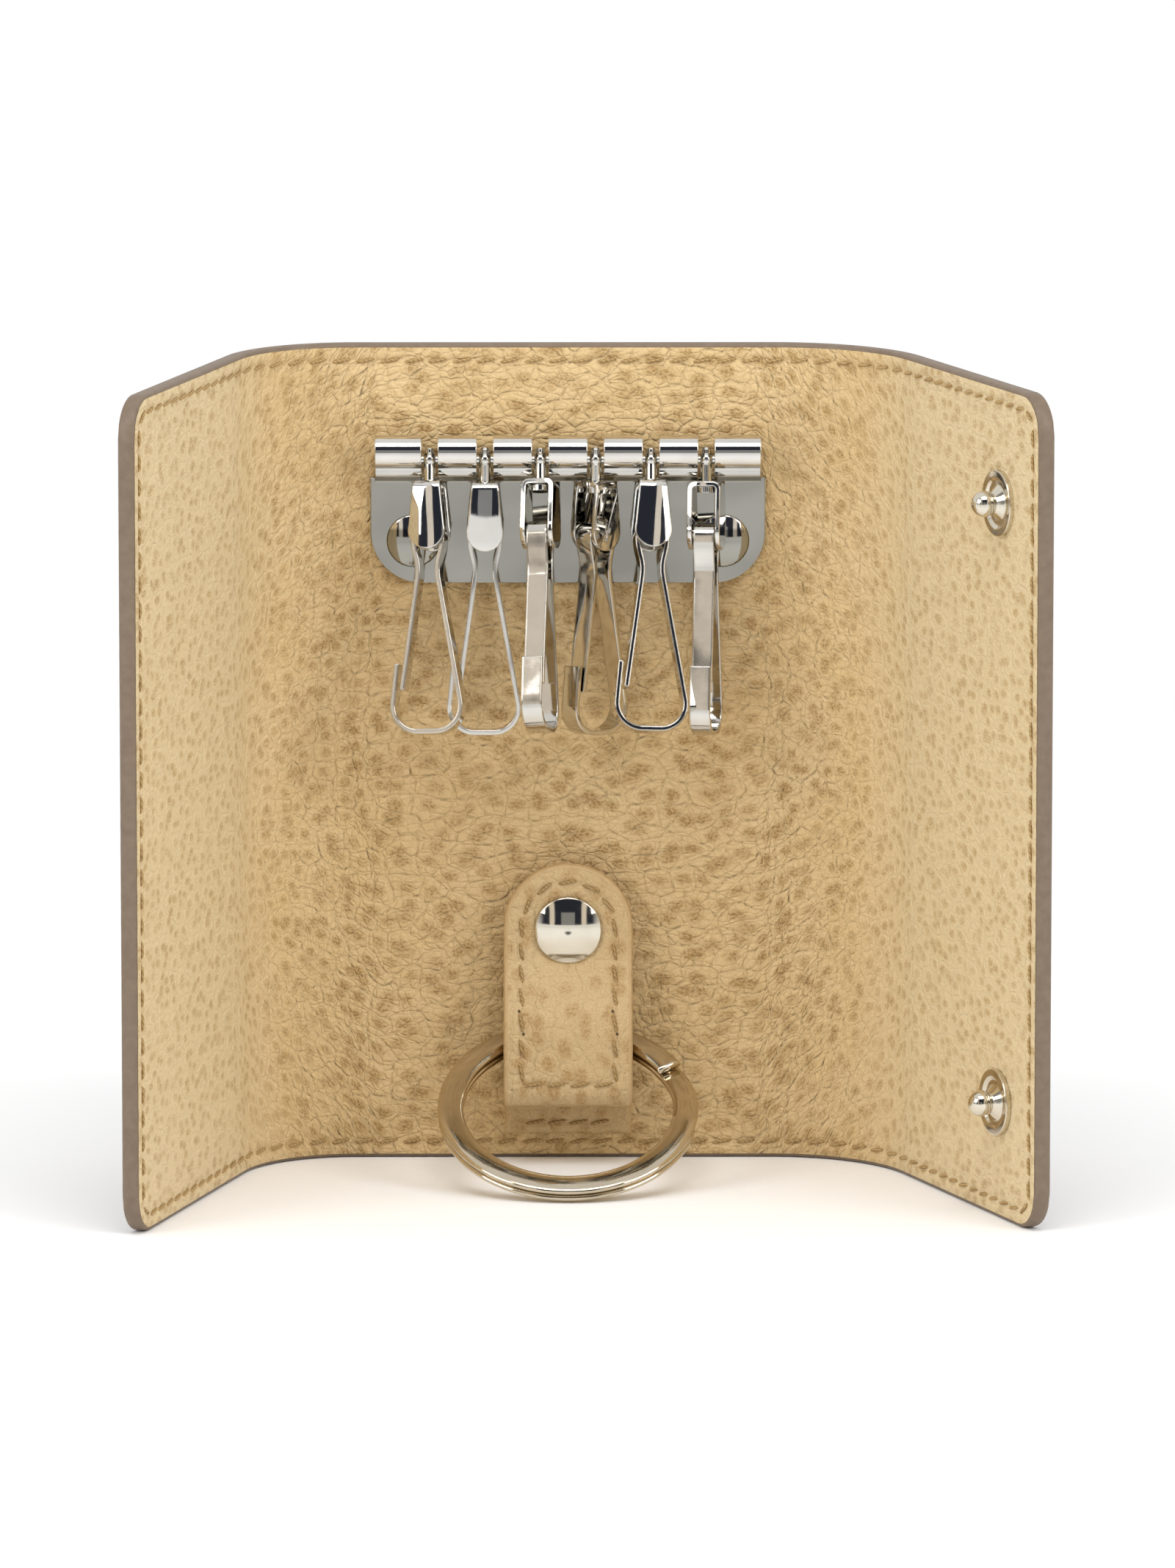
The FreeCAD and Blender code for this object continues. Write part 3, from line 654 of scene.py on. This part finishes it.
def strap_rise(x, along):
    """Rise of the strap's front: puffed rim, stitch groove, a dish round the cap and soft waves."""
    inset = strap_inset(x, along)
    groove = bell(inset, STRAP_HEM, SEAM_WIDTH) * np.clip((along - ROW_ALONG + GROOVE_RUN) / GROOVE_RUN, 0, 1)
    on_row = np.clip((STRAP_HALF - STRAP_HEM + ROW_SPARE - np.abs(x)) / ROW_FADE, 0, 1)
    row = bell(along, ROW_ALONG, SEAM_WIDTH) * on_row
    rim = STRAP_PUFF * np.clip(inset / RIM_INSET, 0, 1) * bell(inset, RIM_INSET, RIM_WIDTH)
    dish = DISH_DEPTH * np.exp(-np.maximum(np.hypot(x, along - SNAP_ALONG) - CAP_RADIUS, 0) / DISH_REACH)
    flat = np.stack([x.ravel(), along.ravel(), np.full(x.size, STRAP_SEED)], axis=1)
    waves = STRAP_WAVE * fractal(flat, 0.16, 3).reshape(x.shape)
    fade = np.clip((inset - STRAP_RELIEF_START) / STRAP_RELIEF_RUN, 0, 1)
    return rim - STRAP_SEAM * np.maximum(groove, row) - dish + waves * fade


def strap_strip(name, start, end, body):
    """One length of the strap with both faces and its painted edge."""
    half = STRAP_HALF - EDGE_ROUND
    leaf = end is None
    across = half * np.sin(np.linspace(-math.pi / 2, math.pi / 2, STRAP_COLUMNS))
    count = LEAF_ROWS if leaf else FOOT_ROWS
    tops = ARCH + np.sqrt(np.maximum(half ** 2 - across ** 2, 0)) if leaf else np.full(across.shape, end)
    along = start + np.linspace(0, 1, count)[:, None] * (tops - start)
    x = np.broadcast_to(across, along.shape)
    front = strap_place(x, along, STRAP_LAYER + (strap_rise(x, along) if leaf else 0.0))
    back = strap_place(x, along, -STRAP_LAYER)
    size = front.shape[0] * front.shape[1]
    faces = grid_faces(*along.shape, False) + [[size + corner for corner in face]
                                              for face in grid_faces(*along.shape, True)]
    uv = np.stack([x.ravel(), along.ravel()], axis=1) / UV_SPAN + STRAP_UV_START
    points = np.concatenate([front.reshape(-1, 3), back.reshape(-1, 3)])
    skin = add_mesh("strap_" + name, points, faces, STRAP, uv=np.concatenate([uv, uv]))
    sides = [np.stack([x[:, column], along[:, column]], axis=1) for column in (0, -1)]
    if leaf:
        top = np.stack([x[-1], along[-1]], axis=1)
        chains = [np.concatenate([sides[0], top[1:-1], sides[1][::-1]])]
    else:
        chains = [sides[0], sides[1][::-1]]
    vertices, edge_faces = [], []
    thick = 2 * STRAP_LAYER
    profile = [(out, depth * thick / THICK) for out, depth in edge_profile()]
    for chain in chains:
        cx, ca = chain[:, 0], chain[:, 1]
        lift = np.maximum(ca - ARCH, 0)
        length = np.hypot(cx, lift)
        first = len(vertices)
        for out, depth in profile:
            vertices.extend(strap_place(cx * (1 + out / length), ca + lift / length * out,
                                        STRAP_LAYER - depth).tolist())
        edge_faces += [[first + corner for corner in face]
                       for face in grid_faces(len(profile), len(chain), True)]
    edge = add_mesh("strap_edge_" + name, vertices, edge_faces, STRAP_EDGE)
    for piece in (skin, edge):
        if body:
            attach(piece, body)
        else:
            ends = [Vector(strap_place(0.0, place_along, 0.0)) * MM for place_along in (start, end)]
            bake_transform(piece)
    return skin


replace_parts(strap_strip("root", 0.0, FOLD_START, "panel"), "strap_root")
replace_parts(strap_strip("fold", FOLD_START, FOLD_END, None), "strap_fold")
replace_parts(strap_strip("leaf", FOLD_END, None, "strap"), "strap_back", "strap_front")


# Patch at the strap's foot, sewn to the lining
def anchor_out(x, z):
    """Height of the patch's face off the lining's plane: a thin pillow with a drawn-in stitch row."""
    inset = np.minimum(STRAP_HALF - np.abs(x), z - ANCHOR_ENDS[0])
    edge = np.sqrt(np.clip(inset / ANCHOR_EDGE, 0, 1))
    on_row = np.clip((ANCHOR_HALF + ROW_SPARE - np.abs(x)) / ROW_FADE, 0, 1)
    row = bell(z, ANCHOR_ROW, SEAM_WIDTH) * on_row
    return (ANCHOR_THICK + ANCHOR_SINK) * edge - ANCHOR_SINK - ANCHOR_SEAM * row


def anchor_point(x, z):
    return np.array([x, -float(anchor_out(x, z)), z])


def add_anchor():
    inner = STRAP_HALF - ANCHOR_RIM
    across = np.concatenate([np.linspace(-STRAP_HALF, -inner, ANCHOR_RIM_COLUMNS)[:-1],
                             np.linspace(-inner, inner, ANCHOR_COLUMNS),
                             np.linspace(inner, STRAP_HALF, ANCHOR_RIM_COLUMNS)[1:]])
    up = np.linspace(*ANCHOR_ENDS, ANCHOR_ROWS)
    x, z = np.meshgrid(across, up)
    points = np.stack([x, -anchor_out(x, z), z], axis=2).reshape(-1, 3)
    uv = np.stack([x.ravel(), z.ravel()], axis=1) / UV_SPAN + ANCHOR_UV_START
    piece = add_mesh("strap_anchor", points, grid_faces(*x.shape, False), STRAP, uv=uv)
    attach(piece, "panel")


add_anchor()


# Sewing thread: one slim rounded stitch after another, with a dark disc of painted shade for the needle hole
# at each end
STITCH_HALF = 1.36
STITCH_RADIUS = 0.2
STITCH_TILT = math.radians(11.0)
STITCH_LIFT = 0.2
STITCH_DIP = 1.35
STITCH_RINGS = 7
STITCH_SPOKES = 6
NEEDLE_PAST = 0.12
NEEDLE_LIFT = 0.015
NEEDLE_LENGTH = 0.22
NEEDLE_WIDTH = 0.19


# Dark colour of the needle holes: painted shade
def needle_shade_material():
    material, tree, shader = new_material("needle_hole_shade")
    vector = surface_map(tree, "Object")
    shade = noise_value(tree, vector, 3000.0, 2.0)
    tree.links.new(ramp(tree, shade, (0.3, (0.055, 0.032, 0.014)), (0.7, (0.10, 0.06, 0.028))),
                   shader.inputs["Base Color"])
    shader.inputs["Roughness"].default_value = 0.8
    return material


NEEDLE_SHADE = needle_shade_material()


def stitch_mesh(name, stitches, thread):
    """stitches are (middle, direction, normal) in millimetres; the thread dips at both ends."""
    vertices, faces, kinds = [], [], []
    rings, spokes = STITCH_RINGS, STITCH_SPOKES
    for middle, direction, normal in stitches:
        side = np.cross(normal, direction)
        run = direction * math.cos(STITCH_TILT) + side * math.sin(STITCH_TILT)
        side = np.cross(normal, run)
        first = len(vertices)
        for share in np.linspace(-1, 1, rings):
            radius = STITCH_RADIUS * math.sqrt(max(1 - 0.9 * share ** 4, 0.02))
            centre = middle + run * STITCH_HALF * share + normal * STITCH_LIFT * (1 - STITCH_DIP * share ** 4)
            for spoke in range(spokes):
                angle = 2 * math.pi * spoke / spokes
                vertices.append(centre + radius * (side * math.cos(angle) + normal * math.sin(angle)))
        for ring in range(rings - 1):
            for spoke in range(spokes):
                a, b = first + ring * spokes + spoke, first + ring * spokes + (spoke + 1) % spokes
                faces.append((a, b, b + spokes, a + spokes))
                kinds.append(0)
        # Painted shade: a dark flat disc at each end stands for the shade inside the needle hole
        for end in (-1, 1):
            hole = middle + run * (STITCH_HALF + NEEDLE_PAST) * end + normal * NEEDLE_LIFT
            start = len(vertices)
            for spoke in range(spokes):
                angle = 2 * math.pi * spoke / spokes
                vertices.append(hole + run * (NEEDLE_LENGTH * math.cos(angle))
                                + side * (NEEDLE_WIDTH * math.sin(angle)))
            faces.append(tuple(range(start, start + spokes)))
            kinds.append(1)
    piece = add_mesh(name, np.array(vertices), faces, thread)
    piece.data.materials.append(NEEDLE_SHADE)
    piece.data.polygons.foreach_set("material_index", kinds)
    return piece


def stitch_places(path, pitch):
    """Evenly spaced places on a flat closed or open path: rows of (a, b, direction a, direction b)."""
    lengths = np.concatenate([[0], np.cumsum(np.linalg.norm(np.diff(path, axis=0), axis=1))])
    count = int(round(lengths[-1] / pitch))
    at = (np.arange(count) + 0.5) * lengths[-1] / count
    a, b = (np.interp(at, lengths, path[:, axis]) for axis in (0, 1))
    reach = 0.6
    da, db = (np.interp(at + reach, lengths, path[:, axis]) - np.interp(at - reach, lengths, path[:, axis])
              for axis in (0, 1))
    length = np.hypot(da, db)
    return np.stack([a, b, da / length, db / length], axis=1)


def framed(where, a, b, da, db):
    """(middle, direction, normal) of one stitch on a surface given by where(a, b)."""
    step = 0.2
    middle = where(a, b)
    run = where(a + da * step, b + db * step) - where(a - da * step, b - db * step)
    across = where(a - db * step, b + da * step) - where(a + db * step, b - da * step)
    normal = np.cross(run, across)
    return middle, run / np.linalg.norm(run), normal / np.linalg.norm(normal)


def hem_path():
    """Closed hem line in (u, z), inside the outline."""
    low, high = -EDGE[-1] + HEM_INSET, EDGE[1] - HEM_INSET
    bottom, top, radius = HEM_INSET, HEIGHT - HEM_INSET, CORNER - HEM_INSET
    path = []
    for centre_u, centre_z, start in ((high - radius, bottom + radius, -90), (high - radius, top - radius, 0),
                                      (low + radius, top - radius, 90), (low + radius, bottom + radius, 180)):
        for angle in np.radians(np.linspace(start, start + 90, 9)):
            path.append((centre_u + radius * math.cos(angle), centre_z + radius * math.sin(angle)))
    path.append(path[0])
    return np.array(path)


def lining_point(u, z):
    return place(u, -lining_height(np.array([u]), np.array([z]))[0], z)


def cover_point(u, z):
    return place(u, THICK + cover_height(np.array([u]), np.array([z]))[0], z)


def add_hem():
    places = stitch_places(hem_path(), HEM_PITCH)
    owner = np.searchsorted(np.array(CUTS[1:-1]), places[:, 0])
    for layer, where, thread, slot, flip in (("lining", lining_point, THREAD, "lining_leather", 1),
                                             ("cover", cover_point, COVER_THREAD, "cover_leather", -1)):
        for index, name in enumerate(PIECES):
            stitches = []
            for a, b, da, db in places[owner == index]:
                middle, run, normal = framed(where, a, b, da, db)
                stitches.append((middle, run, normal * flip))
            piece = stitch_mesh("thread_" + layer + "_" + name, stitches, thread)
            carry(piece, index)


def add_strap_thread():
    inner = STRAP_HALF - STRAP_HEM
    arch = np.radians(np.linspace(180, 0, 25))
    path = [(-inner, ROW_ALONG), (-inner, ARCH)]
    path += [(inner * math.cos(angle), ARCH + inner * math.sin(angle)) for angle in arch]
    path += [(inner, ARCH), (inner, ROW_ALONG)]
    row = np.array([(-inner, ROW_ALONG), (inner, ROW_ALONG)])

    def where(a, b):
        rise = strap_rise(np.array([a]), np.array([b]))[0]
        return strap_place(a, b, STRAP_LAYER + rise)

    lines = [stitch_places(line, HEM_PITCH) for line in (np.array(path), row)]
    stitches = [framed(where, *spot) for spot in np.concatenate(lines)]
    piece = stitch_mesh("thread_strap", stitches, STRAP_THREAD)
    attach(piece, "strap")
    anchor = np.array([(-ANCHOR_HALF, ANCHOR_ROW), (ANCHOR_HALF, ANCHOR_ROW)])
    stitches = [framed(anchor_point, *spot) for spot in stitch_places(anchor, ANCHOR_PITCH)]
    piece = stitch_mesh("thread_anchor", stitches, STRAP_THREAD)
    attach(piece, "panel")


add_hem()
add_strap_thread()


# Metal and card keep their built shape, all but the ring's, and get new finishes by their slots
def metal(name, colour, shade, smooth, worn, edge, dents, crown=0.0, plate_shade=None):
    """Polished metal: softened edges, faint clouding, rubbed patches, hairlines and slightly uneven faces.

    crown bows the shading across and up the piece, and the plate tone is a darker, hazy tone painted on its
    lower part: painted shade for the dull reflection that this part shows."""
    material, tree, shader = new_material(name)
    vector = surface_map(tree, "Object")
    cloud = noise_value(tree, vector, 260.0, 3.0)
    tone = mixed(tree, "MIX", ramp(tree, cloud, (0.35, 0.0), (0.7, 1.0)), colour, shade)
    box = add_node(tree, "ShaderNodeSeparateXYZ",
                   {"Vector": add_node(tree, "ShaderNodeTexCoord").outputs["Generated"]})
    # Painted shade: the lower part, the plate, gets a darker, hazy tone for its duller reflection
    if plate_shade is not None:
        hazy_plate_shade = ramp(tree, noise_value(tree, surface_map(tree, "Object", (1.0, 1.0, 1.6)), 70.0, 2.0),
                    (0.3, plate_shade), (0.7, tuple(0.72 * value for value in plate_shade)))
        tone = mixed(tree, "MIX", ramp(tree, box.outputs["Z"], (0.70, 1.0), (0.76, 0.0)), tone, hazy_plate_shade)
    tree.links.new(tone, shader.inputs["Base Color"])
    rub = noise_value(tree, vector, 620.0, 4.0, 0.6)
    tree.links.new(ramp(tree, rub, (0.4, smooth), (0.75, worn)), shader.inputs["Roughness"])
    shader.inputs["Metallic"].default_value = 1.0
    hair = noise_value(tree, surface_map(tree, "Object", (1.0, 1.0, 9.0)), 1500.0, 2.0)
    rounded = add_node(tree, "ShaderNodeBevel", {"Radius": edge * MM}, samples=6).outputs["Normal"]
    layers = [(noise_value(tree, vector, 110.0, 1.0), 1.0, dents), (hair, 0.03, 0.00002)]
    for axis in ("X", "Z") if crown else ():
        middle = add_node(tree, "ShaderNodeMath", {0: box.outputs[axis], 1: 0.5}, operation="SUBTRACT")
        bow = add_node(tree, "ShaderNodeMath", {0: middle.outputs["Value"], 1: middle.outputs["Value"]},
                       operation="MULTIPLY")
        layers.append((bow.outputs["Value"], 1.0, -4.0 * crown))
    bumped(tree, shader, rounded, *layers)
    return material


def card_material():
    material, tree, shader = new_material("stiffening_card")
    vector = surface_map(tree, "Object")
    fibre = noise_value(tree, vector, 900.0, 4.0, 0.65)
    tree.links.new(ramp(tree, fibre, (0.3, (0.40, 0.33, 0.25)), (0.7, (0.50, 0.43, 0.34))),
                   shader.inputs["Base Color"])
    shader.inputs["Roughness"].default_value = 0.9
    bumped(tree, shader, None, (fibre, 0.3, 0.0002))
    return material


FINISHES = {
    # The rail's plate colour is painted shade, darker than the nickel of its knuckles
    "rail_metal": metal("rail_nickel", (0.72, 0.70, 0.66), (0.66, 0.64, 0.60), 0.05, 0.09, 0.2, 0.00002,
                        plate_shade=(0.36, 0.35, 0.31)),
    "hood_metal": metal("hood_nickel", (0.72, 0.70, 0.66), (0.66, 0.64, 0.60), 0.03, 0.07, 0.3, 0.0002,
                        crown=0.0003),
    "clip_steel": metal("clip_nickel", (0.66, 0.635, 0.585), (0.60, 0.575, 0.53), 0.04, 0.09, 0.3, 0.0001),
    "pin_metal": metal("pin_nickel", (0.66, 0.65, 0.62), (0.60, 0.59, 0.56), 0.06, 0.11, 0.15, 0.00002),
    "snap_metal": metal("snap_nickel", (0.72, 0.67, 0.57), (0.66, 0.61, 0.51), 0.05, 0.10, 0.3, 0.00001),
    "ring_steel": metal("ring_nickel", (0.60, 0.525, 0.405), (0.54, 0.47, 0.355), 0.06, 0.11, 0.15, 0.00002),
    "stiffening_card": card_material(),
}
for part in frame["record"]["subparts"]:
    if part["material_slot"] in FINISHES:
        node = frame["nodes"][part["node"]]
        node.data.materials.clear()
        node.data.materials.append(FINISHES[part["material_slot"]])


# Split ring: a rounded strip wound twice, in place of the solid's plain section
def add_ring():
    turns = np.concatenate([np.linspace(RING_TURNS[0], RING_TURNS[1], RING_STEPS[0])[:-1],
                            np.linspace(RING_TURNS[1], RING_TURNS[2], RING_STEPS[1])[:-1],
                            np.linspace(RING_TURNS[2], RING_TURNS[3], RING_STEPS[2])])
    drop = np.clip((turns - RING_TURNS[1]) / (RING_TURNS[2] - RING_TURNS[1]), 0, 1)
    level = RING_LEVEL * (1 - 2 * drop)
    around = np.linspace(0, 2 * math.pi, RING_SPOKES + 1)[:-1]
    wide = np.sign(np.cos(around)) * np.abs(np.cos(around)) ** RING_SQUARENESS * RING_BAND / 2
    high = np.sign(np.sin(around)) * np.abs(np.sin(around)) ** RING_SQUARENESS * RING_COIL / 2
    angle = np.radians(turns)[:, None]
    reach = (RING_RADIUS - RING_BAND / 2 + wide)[None, :]
    x, y = reach * np.cos(angle), reach * np.sin(angle)
    z = level[:, None] + high[None, :]
    points = np.stack([x, y * math.cos(RING_LEAN) - z * math.sin(RING_LEAN),
                       y * math.sin(RING_LEAN) + z * math.cos(RING_LEAN)], axis=2) + np.array(RING_CENTRE)
    rows, columns = x.shape
    faces = [(row * columns + column, row * columns + (column + 1) % columns,
              (row + 1) * columns + (column + 1) % columns, (row + 1) * columns + column)
             for row in range(rows - 1) for column in range(columns)]
    last = (rows - 1) * columns
    faces += [tuple(range(columns))[::-1], tuple(range(last, last + columns))]
    ring = add_mesh("ring_coil", points.reshape(-1, 3), faces, FINISHES["ring_steel"])
    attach(ring, "ring")
    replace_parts(ring, "split_ring")


add_ring()


# Camera at the photograph's angle, floor and light
AZIMUTH = math.radians(-0.15)
ELEVATION = math.radians(9.92)
DISTANCE = 1.6577
AIM = Vector((0.002481, 0.0, 0.048443))
SENSOR = 36.0
LENS = 298.9
FLOOR_HALF = 8000.0
FLOOR_GAP = 0.00005
SKY_STRENGTH = 0.9
LAMP_AIM = (0, 0, 0.05)
LAMP_POWER = 4.0


def add_camera():
    data = bpy.data.cameras.new("camera")
    data.sensor_width = SENSOR
    data.lens = LENS
    camera = bpy.data.objects.new("camera", data)
    bpy.context.collection.objects.link(camera)
    back = Vector((math.sin(AZIMUTH) * math.cos(ELEVATION), -math.cos(AZIMUTH) * math.cos(ELEVATION),
                   math.sin(ELEVATION)))
    camera.location = AIM + back * DISTANCE
    camera.rotation_mode = "QUATERNION"
    camera.rotation_quaternion = (-back).to_track_quat("-Z", "Y")
    bpy.context.scene.camera = camera


def seen(tree):
    """1 for rays from the camera, from bright metal and through glass, else 0."""
    path = add_node(tree, "ShaderNodeLightPath")
    camera, bright = path.outputs["Is Camera Ray"], path.outputs["Is Glossy Ray"]
    through = path.outputs["Is Transmission Ray"]
    first = add_node(tree, "ShaderNodeMath", {0: camera, 1: bright}, operation="MAXIMUM").outputs["Value"]
    return add_node(tree, "ShaderNodeMath", {0: first, 1: through}, operation="MAXIMUM").outputs["Value"]


def add_floor():
    """White floor: lit and shadowed near the object, plain white where it runs out to the background."""
    material, tree, shader = new_material("floor")
    shader.inputs["Base Color"].default_value = (0.92, 0.92, 0.92, 1.0)
    shader.inputs["Roughness"].default_value = 0.9
    shader.inputs["Specular IOR Level"].default_value = 0.1
    reach = add_node(tree, "ShaderNodeVectorMath",
                     {0: add_node(tree, "ShaderNodeTexCoord").outputs["Object"]}, operation="LENGTH")
    far = ramp(tree, reach.outputs["Value"], (0.10, 0.0), (0.42, 1.0))
    share = add_node(tree, "ShaderNodeMath", {0: far, 1: seen(tree)}, operation="MULTIPLY")
    white = add_node(tree, "ShaderNodeEmission", {"Color": (1.0, 1.0, 1.0, 1.0), "Strength": 1.0})
    blend = add_node(tree, "ShaderNodeMixShader", {0: share.outputs["Value"], 1: shader.outputs["BSDF"],
                                                   2: white.outputs["Emission"]})
    tree.links.new(blend.outputs["Shader"], tree.nodes["Material Output"].inputs["Surface"])
    half = FLOOR_HALF
    floor = add_mesh("floor", [(-half, -half, 0), (half, -half, 0), (half, half, 0), (-half, half, 0)],
                     [(0, 1, 2, 3)], material)
    floor.location.z = -FLOOR_GAP


def add_lamp(name, place_at, size):
    data = bpy.data.lights.new(name, "AREA")
    data.shape = "RECTANGLE"
    data.size, data.size_y = size
    data.energy = LAMP_POWER
    lamp = bpy.data.objects.new(name, data)
    lamp.location = place_at
    lamp.rotation_mode = "QUATERNION"
    lamp.rotation_quaternion = (Vector(LAMP_AIM) - Vector(place_at)).to_track_quat("-Z", "Y")
    bpy.context.collection.objects.link(lamp)


def add_world():
    """White tent with a dark front where the camera stands and two light strips, for the bright metal."""
    world = bpy.data.worlds.new("studio")
    world.use_nodes = True
    tree = world.node_tree
    background = tree.nodes["Background"]
    way = add_node(tree, "ShaderNodeTexCoord").outputs["Generated"]
    split = add_node(tree, "ShaderNodeSeparateXYZ", {"Vector": way})
    aside = add_node(tree, "ShaderNodeMath", {0: split.outputs["X"]}, operation="ABSOLUTE").outputs["Value"]
    front = add_node(tree, "ShaderNodeMath", {0: split.outputs["Y"], 1: -1.0}, operation="MULTIPLY")
    up = split.outputs["Z"]
    opening = ramp(tree, front.outputs["Value"], (0.0, 0.0), (0.1, 1.0))
    for limit in (ramp(tree, aside, (0.62, 1.0), (0.76, 0.0)), ramp(tree, up, (0.66, 1.0), (0.80, 0.0))):
        opening = mixed(tree, "MULTIPLY", 1.0, opening, limit)
    card = mixed(tree, "MULTIPLY", 1.0, ramp(tree, aside, (0.17, 1.0), (0.19, 0.0)),
                 ramp(tree, up, (0.32, 1.0), (0.34, 0.0)))
    dark = mixed(tree, "MIX", card, (0.030, 0.034, 0.048), (0.32, 0.325, 0.33))
    strips = ramp(tree, aside, (0.35, 0.0), (0.36, 1.0), (0.47, 1.0), (0.48, 0.0))
    dark = mixed(tree, "MIX", strips, dark, (0.95, 0.86, 0.75))
    sides = mixed(tree, "MULTIPLY", 1.0, ramp(tree, front.outputs["Value"], (0.0, 0.0), (0.1, 1.0)),
                  ramp(tree, aside, (0.80, 0.0), (0.82, 0.75), (0.92, 0.75), (0.94, 0.0)))
    tent = mixed(tree, "MIX", sides, (1.0, 1.0, 1.0), (0.06, 0.055, 0.05))
    sky = mixed(tree, "MIX", opening, tent, dark)
    tree.links.new(sky, background.inputs["Color"])
    background.inputs["Strength"].default_value = SKY_STRENGTH
    bpy.context.scene.world = world


add_camera()
add_floor()
add_lamp("left", (-0.75, -0.60, 0.55), (0.5, 0.5))
add_lamp("right", (0.75, -0.60, 0.55), (0.5, 0.5))
add_lamp("top", (0.0, -0.55, 1.00), (0.7, 0.4))
add_world()
bpy.context.scene.view_settings.view_transform = "Standard"
